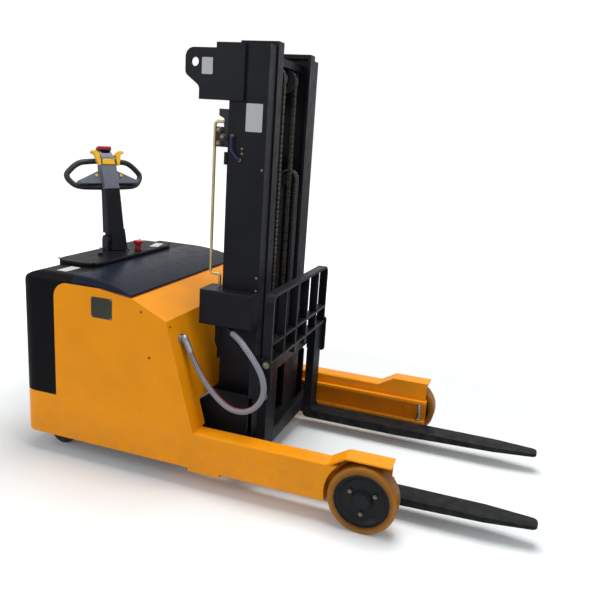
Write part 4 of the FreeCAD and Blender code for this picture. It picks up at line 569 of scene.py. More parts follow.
class Tree(Nodes):
    """A Geometry Nodes tree with named sizes."""

    def __init__(self, name: str) -> None:
        """Starts a tree that takes and gives geometry.

        Args:
            name: The tree's name.
        """
        super().__init__(bpy.data.node_groups.new(name, "GeometryNodeTree"))
        for way in ("INPUT", "OUTPUT"):
            self.tree.interface.new_socket("Geometry", in_out=way, socket_type="NodeSocketGeometry")
        self.start = self.node("NodeGroupInput")
        self.end = self.node("NodeGroupOutput")
        self.keys: dict[str, str] = {}

    def sizes(self, *names: str) -> list[Socket]:
        """Adds named lengths.

        Args:
            names: Their names.

        Returns:
            The sockets that give them.
        """
        for name in names:
            socket = self.tree.interface.new_socket(name, in_out="INPUT", socket_type="NodeSocketFloat")
            self.keys[name] = socket.identifier
        return [self.start.outputs[name] for name in names]

    def share(self, size: Socket, share: float) -> Socket:
        """A share of a size."""
        return self.maths("MULTIPLY", size, share)

    def vector(self, y: object = 0.0, z: object = 0.0) -> Socket:
        """Shift to the left and up."""
        return self.out("ShaderNodeCombineXYZ", {1: y, 2: z})

    def drum(self, sides: int, radius: Socket, depth: Socket) -> Socket:
        """Closed cylinder about its middle."""
        return self.out("GeometryNodeMeshCylinder", {"Vertices": sides, "Radius": radius, "Depth": depth})

    def cone(self, sides: int, bottom: Socket, top: Socket, depth: Socket) -> Socket:
        """Cone with a flat top, standing on its bottom."""
        sizes = {"Vertices": sides, "Radius Bottom": bottom, "Radius Top": top, "Depth": depth}
        return self.out("GeometryNodeMeshCone", sizes)

    def joined(self, *shapes: Socket) -> Socket:
        """Several shapes as one.

        Args:
            shapes: What is joined, in order.

        Returns:
            The joined shape.
        """
        made = self.node("GeometryNodeJoinGeometry")
        for shape in shapes:
            self.feed(made, {0: shape})
        return made.outputs[0]

    def moved(self, shape: Socket, shift: object = NO_SHIFT, turn: Place = NO_SHIFT) -> Socket:
        """Shape shifted and turned."""
        inputs = {"Geometry": shape, "Translation": shift, "Rotation": turn}
        return self.out("GeometryNodeTransform", inputs)

    def placed(self, points: Socket, way: Socket, shape: Socket, pivot: str = "AUTO",
               picks: Inputs | None = None) -> Socket:
        """Copies of a shape on points, each with its top turned to a way.

        Args:
            points: Where they go.
            way: The way of each.
            shape: The shape.
            pivot: The axis that they turn about.
            picks: Which of several shapes goes where.

        Returns:
            The copies.
        """
        turn = self.out("FunctionNodeAlignRotationToVector", {"Vector": way}, axis="Z", pivot_axis=pivot)
        inputs = {"Points": points, "Instance": shape, "Rotation": turn, **(picks or {})}
        return self.out("GeometryNodeInstanceOnPoints", inputs)

    def paced(self, pitch: Socket) -> tuple[Socket, Socket]:
        """Steps along the tree's lines.

        Args:
            pitch: The length from one to the next.

        Returns:
            Their points, and the ways that the lines run there.
        """
        line = self.out("GeometryNodeMeshToCurve", {"Mesh": self.start.outputs[0]})
        steps = self.out("GeometryNodeResampleCurve", {"Curve": line, "Length": pitch}, mode="LENGTH")
        return steps, self.out("GeometryNodeInputTangent")

    def close(self, geometry: Socket, finish: Finish) -> "Tree":
        """Ends the tree in real geometry that wears a finish.

        Args:
            geometry: What the tree has made.
            finish: What it wears.

        Returns:
            The tree.
        """
        real = self.out("GeometryNodeRealizeInstances", {"Geometry": geometry})
        worn = self.out("GeometryNodeSetMaterial", {"Geometry": real, "Material": finish.material()})
        self.feed(self.end, {0: worn})
        return self

    def grow(self, seed: Mesh, sizes_mm: dict[str, float]) -> Mesh:
        """Plain mesh that the tree makes from points or lines, with its named lengths in millimetres."""
        sizes = {self.keys[name]: value * MM for name, value in sizes_mm.items()}
        return settled(seed, "NODES", {"node_group": self.tree}, sizes)


class Head(Enum):
    """Heads that a screw can have, by their sides."""

    HEX = 6
    ROUND = 16


WASHER_SIDES = 20
CROWN_RADIUS_SHARE = 0.62
CROWN_HEIGHT_SHARE = 0.35
LINK_SIDES = 10
PIN_SIDES = 8
LINK_SHARES = ((-0.42, 0.0, 0.42), (-0.21, 0.21))
RIB_SIDES = 12
RIB_SLOPE_SHARE = 0.28
RIB_CROWN_SHARE = 0.30


def screw_tree(name: str, head: Head, finish: Finish) -> Tree:
    """Tree that sets a screw, with its washer, on each point.

    Args:
        name: The tree's name.
        head: The screw head's form.
        finish: What the screws wear.

    Returns:
        The tree.
    """
    tree = Tree(name)
    radius, height = tree.sizes("Head radius", "Head height")
    washer, thick = tree.sizes("Washer radius", "Washer thickness")
    crown = tree.cone(head.value, radius, tree.share(radius, CROWN_RADIUS_SHARE),
                      tree.share(height, CROWN_HEIGHT_SHARE))
    middle = tree.maths("ADD", thick, tree.share(height, 0.5))
    screw = tree.joined(
        tree.moved(tree.drum(WASHER_SIDES, washer, thick), tree.vector(z=tree.share(thick, 0.5))),
        tree.moved(tree.drum(head.value, radius, height), tree.vector(z=middle)),
        tree.moved(crown, tree.vector(z=tree.maths("ADD", thick, height))),
    )
    facing = tree.out("GeometryNodeInputNamedAttribute", {"Name": "facing"}, data_type="FLOAT_VECTOR")
    return tree.close(tree.placed(tree.start.outputs[0], facing, screw), finish)


def link_tree(name: str, finish: Finish) -> Tree:
    """Tree that lays a leaf chain along lines that run in planes across the truck's offsets.

    Args:
        name: The tree's name.
        finish: What the chain wears.

    Returns:
        The tree.
    """
    tree = Tree(name)
    pitch, width = tree.sizes("Pitch", "Chain width")
    thick, radius, pin = tree.sizes("Plate", "Plate radius", "Pin radius")
    half = tree.share(pitch, 0.5)
    disc = tree.moved(tree.drum(LINK_SIDES, radius, thick), turn=(0.0, 0.0, math.pi / LINK_SIDES))
    end = tree.maths("SIGN", tree.parts(tree.out("GeometryNodeInputPosition"))[2])
    reach = tree.vector(z=tree.maths("MULTIPLY", end, half))
    plate = tree.out("GeometryNodeSetPosition", {"Geometry": tree.moved(disc, turn=UPRIGHT), "Offset": reach})
    rod = tree.moved(tree.drum(PIN_SIDES, pin, tree.maths("ADD", width, thick)), tree.vector(z=half), UPRIGHT)
    links = []
    for shares in LINK_SHARES:
        plates = [tree.moved(plate, tree.vector(y=tree.share(width, share))) for share in shares]
        links.append(tree.out("GeometryNodeGeometryToInstance", {0: tree.joined(*plates, rod)}))
    step = tree.maths("MODULO", tree.out("GeometryNodeInputIndex"), len(LINK_SHARES))
    picks = {"Pick Instance": True, "Instance Index": step}
    return tree.close(tree.placed(*tree.paced(pitch), tree.joined(*links), "Y", picks), finish)


def rib_tree(name: str, finish: Finish) -> Tree:
    """Tree that sets a ridge at every pitch along lines.

    Args:
        name: The tree's name.
        finish: What the ribs wear.

    Returns:
        The tree.
    """
    tree = Tree(name)
    pitch, ridge, valley = tree.sizes("Pitch", "Ridge radius", "Valley radius")
    slope, flat = tree.share(pitch, RIB_SLOPE_SHARE), tree.share(pitch, RIB_CROWN_SHARE)
    edge = tree.share(flat, 0.5)
    low = tree.share(tree.maths("ADD", edge, slope), -1.0)
    rib = tree.joined(
        tree.moved(tree.cone(RIB_SIDES, valley, ridge, slope), tree.vector(z=low)),
        tree.drum(RIB_SIDES, ridge, flat),
        tree.moved(tree.cone(RIB_SIDES, ridge, valley, slope), tree.vector(z=edge)),
    )
    return tree.close(tree.placed(*tree.paced(pitch), rib), finish)


def smooth_line(points: Sequence[Vector]) -> list[Vector]:
    """Points along a route's smooth line, read from its spline.

    Args:
        points: The spline's control points, in the frame.

    Returns:
        Points in the frame, from the first to the last.
    """
    curve = bpy.data.curves.new("line", "CURVE")
    curve.dimensions = "3D"
    curve.resolution_u = LINE_STEPS
    spline = curve.splines.new("NURBS")
    spline.points.add(len(points) - 1)
    for control, point in zip(spline.points, points):
        control.co = (*point, 1.0)
    spline.order_u = 3
    spline.use_endpoint_u = True
    return [vertex.co.copy() for vertex in settled(curve).vertices]


def poured(name: str, work: BMesh, at: Matrix | None = None, turn_out: bool = False) -> Mesh:
    """Mesh of a worked shape, which is let go.

    Args:
        name: The mesh's name.
        work: The shape.
        at: Where it goes, if it isn't there yet.
        turn_out: Whether its seams are closed and its faces turned outwards first.

    Returns:
        The mesh.
    """
    if turn_out:
        bmesh.ops.remove_doubles(work, verts=work.verts[:], dist=SEAM_M)
        bmesh.ops.recalc_face_normals(work, faces=work.faces[:])
    work.transform(at or Matrix())
    mesh = bpy.data.meshes.new(name)
    work.to_mesh(mesh)
    work.free()
    return mesh


def skin(work: BMesh, rings: Sequence[Sequence[BMVert]], loop: bool = False) -> list[BMFace]:
    """Walls from each ring of corners to the next.

    Args:
        work: The shape that they belong to.
        rings: The rings.
        loop: Whether the last ring joins the first. If not, both ends get a cap.

    Returns:
        The walls, ring by ring, and after them the last ring's cap.
    """
    faces = []
    for low, high in zip(rings, [*rings[1:], rings[0]] if loop else rings[1:]):
        for k in range(len(low)):
            n = (k + 1) % len(low)
            faces.append(work.faces.new((low[k], low[n], high[n], high[k])))
    if not loop:
        work.faces.new(list(reversed(rings[0])))
        faces.append(work.faces.new(rings[-1]))
    return faces


def tube(name: str, points: Sequence[Vector], radius_mm: float, sides: int) -> Mesh:
    """Closed tube round a line, mapped along and round itself.

    Args:
        name: The mesh's name.
        points: The line's points, in the frame.
        radius_mm: The tube's radius.
        sides: Faces round the tube.

    Returns:
        The tube's mesh, with a map in metres along and shares round.
    """
    work = bmesh.new()
    layer = work.loops.layers.uv.new("UVMap")
    rings: list[list[BMVert]] = []
    runs = list(accumulate(((b - a).length for a, b in zip(points, points[1:])), initial=0.0))
    side = (points[1] - points[0]).orthogonal().normalized()
    for i, at in enumerate(points):
        ahead = (points[min(i + 1, len(points) - 1)] - points[max(i - 1, 0)]).normalized()
        side = (side - ahead * side.dot(ahead)).normalized()
        other = ahead.cross(side)
        ways = [side * c + other * s for c, s in circle(sides)]
        rings.append([work.verts.new(at + way * (radius_mm * MM)) for way in ways])
    for index, wall in enumerate(skin(work, rings)[:-1]):
        i, k = divmod(index, sides)
        marks = ((runs[i], k), (runs[i], k + 1), (runs[i + 1], k + 1), (runs[i + 1], k))
        for corner, (run, step) in zip(wall.loops, marks):
            corner[layer].uv = (run, step / sides)
    return poured(name, work)


def track(lines: Sequence[Sequence[Vector]]) -> Mesh:
    """Lines for a tree to follow.

    Args:
        lines: Points along each line, in the frame.

    Returns:
        A mesh of edges, one chain for each line.
    """
    points: list[Vector] = []
    edges: list[tuple[int, int]] = []
    for line in lines:
        edges += [(len(points) + i, len(points) + i + 1) for i in range(len(line) - 1)]
        points += line
    mesh = bpy.data.meshes.new("track")
    mesh.from_pydata(points, edges, [])
    return mesh


def merged(name: str, meshes: Sequence[Mesh]) -> Mesh:
    """Several meshes as one.

    Args:
        name: The new mesh's name.
        meshes: What goes into it.

    Returns:
        The new mesh, bare of materials.
    """
    work = bmesh.new()
    for mesh in meshes:
        work.from_mesh(mesh)
    for face in work.faces:
        face.material_index = 0
    return poured(name, work)


def stand(middle: Vector, facing: Place, up: Place) -> Matrix:
    """Place of a piece that is drawn flat, by where its middle goes and where its face and top look."""
    out, top = Vector(facing).normalized(), Vector(up).normalized()
    return Matrix.Translation(middle) @ Matrix((top.cross(out), top, out)).transposed().to_4x4()


def block(name: str, size_mm: Place, corner_mm: float, at: Matrix, segments: int = 3,
          hollow: bool = False) -> Mesh:
    """Block with its edges rounded.

    Args:
        name: The mesh's name.
        size_mm: Its three sides.
        corner_mm: Its edges' radius.
        at: Where it goes.
        segments: Faces across each rounded edge.
        hollow: Whether it is a thin cap, open below.

    Returns:
        The mesh.
    """
    work = bmesh.new()
    bmesh.ops.create_cube(work, size=1.0, matrix=Matrix.Diagonal((*[side * MM for side in size_mm], 1.0)))
    if hollow:
        work.normal_update()
        below = [face for face in work.faces if face.normal.z < -0.5]
        bmesh.ops.delete(work, geom=below, context="FACES")
    bent = [edge for edge in work.edges if not edge.is_boundary]
    bmesh.ops.bevel(work, geom=bent, offset=corner_mm * MM, segments=segments, profile=0.5, affect="EDGES")
    return poured(name, work, at)


def turned(name: str, profile_mm: Sequence[Flat], at: Matrix, sides: int = 32) -> Mesh:
    """Ring or cap turned round an axis.

    Args:
        name: The mesh's name.
        profile_mm: Radius and height of each corner of its closed section.
        at: Where its axis goes.
        sides: Faces round it.

    Returns:
        The mesh.
    """
    work = bmesh.new()
    profile = [(r * MM, z * MM) for r, z in profile_mm]
    rings = [[work.verts.new((r * c, r * s, z)) for r, z in profile] for c, s in circle(sides)]
    skin(work, rings, loop=True)
    return poured(name, work, at, turn_out=True)


@dataclass
class ReachHose:
    """The braided hose that loops from the body's front plate to the mast."""

    diameter_mm: float = 24.0
    sides: int = 20
    exit_mm: Place = (776.15, -422.52, 553.23)
    route_mm: tuple[Place, ...] = (
        (806.0, -422.0, 496.0), (851.0, -420.0, 431.0), (901.0, -417.0, 376.0), (959.0, -412.0, 337.0),
        (1022.0, -408.0, 336.0), (1073.0, -404.0, 374.0), (1096.0, -402.0, 434.0), (1083.0, -400.0, 500.0),
        (1042.0, -393.0, 555.0), (1000.0, -380.0, 592.0), (957.0, -356.0, 620.0), (917.0, -335.0, 633.0),
    )
    bend_start_mm: Place = (776.0, -420.0, 500.0)
    bend_end_mm: Place = (930.0, -420.0, 500.0)

    def build(self) -> None:
        points = smooth_line(spots((self.exit_mm, *self.route_mm)))
        mesh = tube("reach_hose_cover", points, self.diameter_mm / 2, self.sides)
        hose = piece("reach_hose_cover", mesh, HOSE_BRAID, node="reach_hose")
        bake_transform(hose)


@dataclass
class LiftChains:
    """Leaf chains from the mast's clamps over the pulleys to the fork carriage."""

    offsets_mm: Flat = (-66.0, 66.0)
    pitch_mm: float = 19.05
    width_mm: float = 21.0
    plate_mm: float = 3.0
    plate_radius_mm: float = 6.0
    pin_radius_mm: float = 3.0
    pulley_mm: Place = (938.0, 0.0, 1640.0)
    pulley_radius_mm: float = 38.0
    anchor_height_mm: float = 460.0
    clamp_height_mm: float = 1332.0
    bend_height_mm: float = 380.0
    wrap_steps: int = 12

    def front_line(self, y: float) -> list[Vector]:
        """Straight run from the carriage up to the pulley, at an offset."""
        x = self.pulley_mm[0] + self.pulley_radius_mm
        return spots(on_side(y, [(x, self.anchor_height_mm), (x, self.pulley_mm[2])]))

    def rear_line(self, y: float) -> list[Vector]:
        """Run over the pulley and down to the clamp.

        Args:
            y: Its offset.

        Returns:
            Its points, in the frame.
        """
        x, _, z = self.pulley_mm
        wrap = arc((x, z), self.pulley_radius_mm, self.wrap_steps, sweep=math.pi)
        return spots(on_side(y, [*wrap, (x - self.pulley_radius_mm, self.clamp_height_mm)]))

    def build(self) -> None:
        """Makes both runs."""
        tree = link_tree("chain_links", CHAIN_STEEL)
        sizes = {"Pitch": self.pitch_mm, "Chain width": self.width_mm, "Plate": self.plate_mm,
                 "Plate radius": self.plate_radius_mm, "Pin radius": self.pin_radius_mm}
        runs = (("lift_chain_front", self.front_line, "lift_carriage", self.bend_height_mm),
                ("lift_chain_rear", self.rear_line, "outer_mast", self.clamp_height_mm))
        for node, line, body, height in runs:
            mesh = tree.grow(track([line(y) for y in self.offsets_mm]), sizes)
            made = piece(node + "_links", mesh, CHAIN_STEEL, node=node)
            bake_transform(made)


@dataclass
class MastHoses:
    """Two ribbed hoses that run up the mast, over their saddle and down to the fork carriage."""

    offsets_mm: Flat = (99.0, 121.0)
    ridge_mm: float = 9.0
    valley_mm: float = 7.4
    pitch_mm: float = 12.0
    sides: int = 14
    saddle_mm: Place = (958.0, 0.0, 1236.0)
    bend_mm: float = 34.0
    foot_height_mm: float = 165.0
    carriage_height_mm: float = 152.0

    def front_line(self) -> list[Flat]:
        """Control points of the run from the carriage up to the saddle.

        Returns:
            Their stations and heights.
        """
        x, z, low = self.saddle_mm[0] + self.bend_mm, self.saddle_mm[2], self.carriage_height_mm
        third = (z - low) / 3
        return [(x, height) for height in (low, low + third, z - third, z)]

    def rear_line(self) -> list[Flat]:
        """Control points of the run from the foot up and over the saddle.

        Returns:
            Their stations and heights.
        """
        (x, _, z), bend, low = self.saddle_mm, self.bend_mm, self.foot_height_mm
        rise = [(x - bend, height) for height in (low, low + (z - low) / 2, z - bend, z + bend)]
        return [*rise, (x + bend, z + bend), (x + bend, z)]

    def build(self) -> None:
        """Makes both runs."""
        tree = rib_tree("hose_ribs", HOSE_BLACK)
        sizes = {"Pitch": self.pitch_mm, "Ridge radius": self.ridge_mm, "Valley radius": self.valley_mm}
        runs = (("mast_hoses_front", self.front_line(), "lift_carriage", self.carriage_height_mm),
                ("mast_hoses_rear", self.rear_line(), "outer_mast", self.foot_height_mm))
        for node, line, body, height in runs:
            lines = [smooth_line(spots(on_side(y, line))) for y in self.offsets_mm]
            cores = [tube(node, points, self.valley_mm, self.sides) for points in lines]
            mesh = merged(node + "_ribbed", [tree.grow(track(lines), sizes), *cores])
            made = piece(node + "_ribbed", mesh, HOSE_BLACK, node=node)
            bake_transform(made)


@dataclass(frozen=True)
class Plate:
    """Thin blank plate with a rim, riveted or stuck to a face."""

    name: str
    body: str
    finish: Finish
    middle_mm: Place
    wide_mm: float
    tall_mm: float
    facing: Place = (0, -1, 0)
    up: Place = (0, 0, 1)
    corner_mm: float = 4.0
    thick_mm: float = 1.4
    rim_mm: float = 3.0
    sunk_mm: float = 0.5
    corner_steps: int = 4

    def outline(self) -> list[Flat]:
        """Corners of the plate's rounded outline.

        Returns:
            Their distances across and up from its middle.
        """
        x, y = self.wide_mm / 2 - self.corner_mm, self.tall_mm / 2 - self.corner_mm
        points = []
        for quarter, middle in enumerate(((x, y), (-x, y), (-x, -y), (x, -y))):
            points += arc(middle, self.corner_mm, self.corner_steps, QUARTER * quarter)
        return points

    def build(self) -> None:
        """Makes the plate and fixes it."""
        work = bmesh.new()
        rings = [[work.verts.new((x * MM, y * MM, z * MM)) for x, y in self.outline()]
                 for z in (0.0, self.thick_mm)]
        face = skin(work, rings)[-1]
        for width, sink in ((self.rim_mm, 0.0), (self.sunk_mm, -self.sunk_mm)):
            bmesh.ops.inset_region(work, faces=[face], thickness=width * MM, depth=sink * MM)
        mesh = poured(self.name, work, stand(spot(self.middle_mm), self.facing, self.up))
        piece(self.name, mesh, self.finish, self.body)


SIDE_PLATE = Plate("side_plate", "chassis", PLATE_DARK, (413.0, -500.0, 700.0), 98.0, 86.0)
PLATES: tuple[Plate, ...] = (
    SIDE_PLATE,
    Plate("mast_plate", "outer_mast", PLATE_PALE, (948.0, -287.0, 1478.0), 68.0, 104.0),
    Plate("lug_plate", "outer_mast", PLATE_PALE, (751.0, -299.0, 1658.0), 46.0, 61.0),
    Plate("deck_plate", "chassis", PLATE_PALE, (184.5, -405.5, 815.0), 94.0, 48.0, (0, 0, 1), (1, 0, 0)),
    Plate("console_plate", "chassis", PLATE_PALE, (213.5, 242.0, 833.0), 106.0, 42.0, (0, 0, 1),
          (0.97, 0.24, 0)),
)


@dataclass(frozen=True)
class ScrewSet:
    """Screws of one kind on one body."""

    name: str
    body: str
    head: Head
    finish: Finish
    radius_mm: float
    height_mm: float
    washer_mm: float
    places_mm: tuple[Place, ...]
    facing: Place
    washer_thick_mm: float = 1.2

    def build(self) -> None:
        """Sets the screws."""
        seed = bpy.data.meshes.new("points")
        seed.from_pydata(spots(self.places_mm), [], [])
        for item in seed.attributes.new("facing", "FLOAT_VECTOR", "POINT").data:
            item.vector = self.facing
        sizes = {"Head radius": self.radius_mm, "Head height": self.height_mm,
                 "Washer radius": self.washer_mm, "Washer thickness": self.washer_thick_mm}
        mesh = screw_tree(self.name, self.head, self.finish).grow(seed, sizes)
        piece(self.name, mesh, self.finish, self.body)


@dataclass
class Fasteners:
    """Screws and nuts that show on the truck."""

    mast_side_mm: float = 287.0
    body_side_mm: float = 500.0
    mast_station_mm: float = 990.0
    mast_heights_mm: tuple[float, ...] = (1285.0, 861.0, 808.0, 698.0)
    panel_mm: tuple[Flat, ...] = ((596.0, 712.0), (634.0, 528.0), (726.0, 672.0))
    wheel_mm: Place = (1545.0, 507.0, 133.5)
    wheel_bolt_circle_mm: float = 56.0
    wheel_bolt_start: float = 30.0
    wheel_bolt_count: int = 3
    valve_mm: tuple[Place, ...] = ((806.7, -284.0, 1374.7), (823.3, -284.0, 1400.0), (806.7, -284.0, 1425.3))
    clamp_mm: tuple[Flat, ...] = ((903.0, 1360.0), (904.0, 1341.0))
    console_mm: tuple[Flat, ...] = ((66.0, 318.0), (244.0, 318.0), (66.0, -318.0), (244.0, -318.0))
    console_top_mm: float = 833.0
    end_side_mm: float = 374.0
    end_mm: tuple[Flat, ...] = ((1086.0, 407.0), (1086.0, 538.0))
    web_side_mm: float = 426.0
    rivet_reach_mm: Flat = (44.0, 38.0)

    def wheel_bolts(self) -> list[Flat]:
        """Stations and heights of a load wheel's bolts."""
        count, start = self.wheel_bolt_count, math.radians(self.wheel_bolt_start)
        return arc(self.wheel_mm[::2], self.wheel_bolt_circle_mm, count, start, FULL_TURN)[:-1]

    def rivets(self) -> list[Flat]:
        """Stations and heights of the side plate's rivets."""
        (x, _, z), (across, up) = SIDE_PLATE.middle_mm, self.rivet_reach_mm
        return [(x + sx * across, z + sz * up) for sx in (-1, 1) for sz in (-1, 1)]

    def sets(self) -> list[ScrewSet]:
        """Every set of screws.

        Returns:
            The sets, in order.
        """
        made: list[ScrewSet] = []
        rail = [(self.mast_station_mm, z) for z in self.mast_heights_mm]
        for side, hand in ((-1.0, "right"), (1.0, "left")):
            out, back = (0.0, side, 0.0), (0.0, -side, 0.0)
            made += [
                ScrewSet(hand + "_mast_screws", "outer_mast", Head.ROUND, WORN_STEEL, 4.4, 3.0, 5.6,
                         on_side(side * self.mast_side_mm, rail), out),
                ScrewSet(hand + "_panel_screws", "chassis", Head.ROUND, SCREW_BRONZE, 4.2, 2.4, 5.8,
                         on_side(side * self.body_side_mm, self.panel_mm), out),
                ScrewSet(hand + "_wheel_bolts", hand + "_load_wheel", Head.HEX, WORN_STEEL, 7.2, 4.2, 8.8,
                         on_side(side * self.wheel_mm[1], self.wheel_bolts()), out),
                ScrewSet(hand + "_end_bolts", "lift_carriage", Head.ROUND, WORN_STEEL, 13.4, 8.6, 15.0,
                         on_side(side * self.end_side_mm, self.end_mm), out),
                ScrewSet(hand + "_axle_cap", "chassis", Head.ROUND, BODY_PAINT, 21.4, 1.6, 22.6,
                         on_side(side * self.web_side_mm, [self.wheel_mm[::2]]), back),
            ]
        right, up = (0.0, -1.0, 0.0), (0.0, 0.0, 1.0)
        console = tuple((x, y, self.console_top_mm) for x, y in self.console_mm)
        made += [
            ScrewSet("valve_nuts", "outer_mast", Head.HEX, WORN_STEEL, 10.2, 14.6, 11.0,
                     self.valve_mm, right),
            ScrewSet("clamp_screws", "outer_mast", Head.HEX, WORN_STEEL, 4.4, 3.4, 5.6,
                     on_side(-self.mast_side_mm, self.clamp_mm), right),
            ScrewSet("plate_rivets", "chassis", Head.ROUND, BRIGHT_STEEL, 1.8, 0.9, 2.4,
                     on_side(-self.body_side_mm - SIDE_PLATE.thick_mm, self.rivets()), right),
            ScrewSet("console_screws", "chassis", Head.ROUND, SEAM_BLACK, 5.0, 2.4, 7.0, console, up),
        ]
        return made

    def build(self) -> None:
        """Sets every screw."""
        for screws in self.sets():
            screws.build()


@dataclass
class TillerDetail:
    """Belly cap, grips and apron of the tiller, the filler at its foot and the emergency stop's sleeve."""

    steer_mm: Place = (128.0, 0.0, 0.0)
    steer_turn: float = -28.0
    pivot_mm: Place = (0.0, 0.0, 880.0)
    arm_lean: float = -8.0
    head_root_mm: Place = (0.0, 0.0, 246.0)
    head_lean: float = -10.0
    cap_mm: Place = (36.0, 66.0, 18.0)
    cap_middle_mm: Place = (-11.6, 0.0, 191.0)
    cap_corner_mm: float = 6.0
    cap_segments: int = 4
    cap_wall_mm: float = 2.2
    neck_mm: Place = (18.0, 44.0, 19.0)
    neck_middle_mm: Place = (-12.0, 0.0, 184.0)
    neck_corner_mm: float = 4.0
    stop_mm: Place = (204.0, 88.0, 833.0)
    sleeve_mm: tuple[Flat, ...] = (
        (15.2, 0.2), (18.6, 0.2), (18.6, 2.0), (17.4, 3.2), (17.0, 19.0), (16.2, 20.4), (15.2, 20.4))
    filler_mm: Place = (46.0, 62.0, 20.6)
    filler_middle_mm: Place = (0.0, 0.0, 843.1)
    filler_corner_mm: float = 5.0
    skirt_mm: Flat = (28.8, 31.4)
    skirt_outline_mm: tuple[Flat, ...] = (
        (-43.0, 54.0), (-43.0, 46.0), (-28.0, 28.0), (-27.0, 12.0), (-30.0, -47.0), (50.0, -47.0),
        (43.0, 54.0))
    grip_mm: float = 13.0
    grip_sides: int = 18
    grip_root_mm: Place = (-8.0, 0.0, 8.0)
    grip_reach_mm: Place = (-34.0, 187.0, 123.0)
    grip_shares: tuple[Place, ...] = (
        (0.0, 0.14, 1.0), (0.30, 0.46, 0.99), (0.55, 0.64, 0.97), (0.78, 0.80, 0.84), (0.98, 0.97, 0.60),
        (1.0, 1.0, 0.50), (0.98, 0.98, 0.36), (0.85, 0.87, 0.15), (0.66, 0.72, 0.05), (0.48, 0.48, 0.02),
        (0.25, 0.14, 0.0))

    def column(self) -> Matrix:
        """Place of the steering column's axis, turned as it steers."""
        return Matrix.Translation(spot(self.steer_mm)) @ swung(self.steer_turn, "Z")

    def arm(self) -> Matrix:
        """Place of the arm's pivot, leaned as the arm is."""
        return self.column() @ shifted(self.pivot_mm) @ swung(self.arm_lean, "Y")

    def head(self) -> Matrix:
        """Place of the head's root on the arm, leaned as the head is."""
        return self.arm() @ shifted(self.head_root_mm) @ swung(self.head_lean, "Y")

    def cap(self) -> Mesh:
        """Thin cap, open below, that slides over the head's end.

        Returns:
            Its mesh.
        """
        at = self.head() @ shifted(self.cap_middle_mm)
        form = block("belly_cap", self.cap_mm, self.cap_corner_mm, at, self.cap_segments, hollow=True)
        return settled(form, "SOLIDIFY", {"thickness": self.cap_wall_mm * MM, "offset": -1.0})

    def grips(self) -> Mesh:
        """Both loop grips.

        Returns:
            Their mesh.
        """
        loops = []
        for side in (-1, 1):
            reach = Vector(self.grip_reach_mm) * Vector((1, side, 1))
            points = [self.head() @ ((Vector(self.grip_root_mm) + reach * Vector(share)) * MM)
                      for share in self.grip_shares]
            loops.append(tube("grip", smooth_line(points), self.grip_mm, self.grip_sides))
        return merged("grip_loops", loops)

    def skirt(self) -> Mesh:
        """Apron at the arm's foot, in front of the pivot.

        Returns:
            Its mesh.
        """
        work = bmesh.new()
        skin(work, [[work.verts.new(Vector((x, y, z)) * MM) for y, z in self.skirt_outline_mm]
                    for x in self.skirt_mm])
        return poured("arm_skirt", work, self.arm(), turn_out=True)

    def build(self) -> None:
        """Makes the pieces and sets them on the tiller and the console."""
        piece("belly_cap", self.cap(), CAP_RED, "belly", "belly_button")
        # The neck wears the arm's black as painted shade in the gap under the belly cap.
        neck = self.head() @ shifted(self.neck_middle_mm)
        piece("belly_neck", block("belly_neck", self.neck_mm, self.neck_corner_mm, neck), ARM_BLACK, "belly")
        piece("grip_loops", self.grips(), GRIP_BLACK, "tiller", "tiller_grips")
        piece("arm_skirt", self.skirt(), ARM_BLACK, "tiller")
        foot = self.column() @ shifted(self.filler_middle_mm)
        filler = block("pivot_filler", self.filler_mm, self.filler_corner_mm, foot)
        piece("pivot_filler", filler, ARM_BLACK, "steering")
        sleeve = turned("stop_sleeve", self.sleeve_mm, Matrix.Translation(spot(self.stop_mm)))
        piece("stop_sleeve", sleeve, SIGNAL_RED, "chassis")


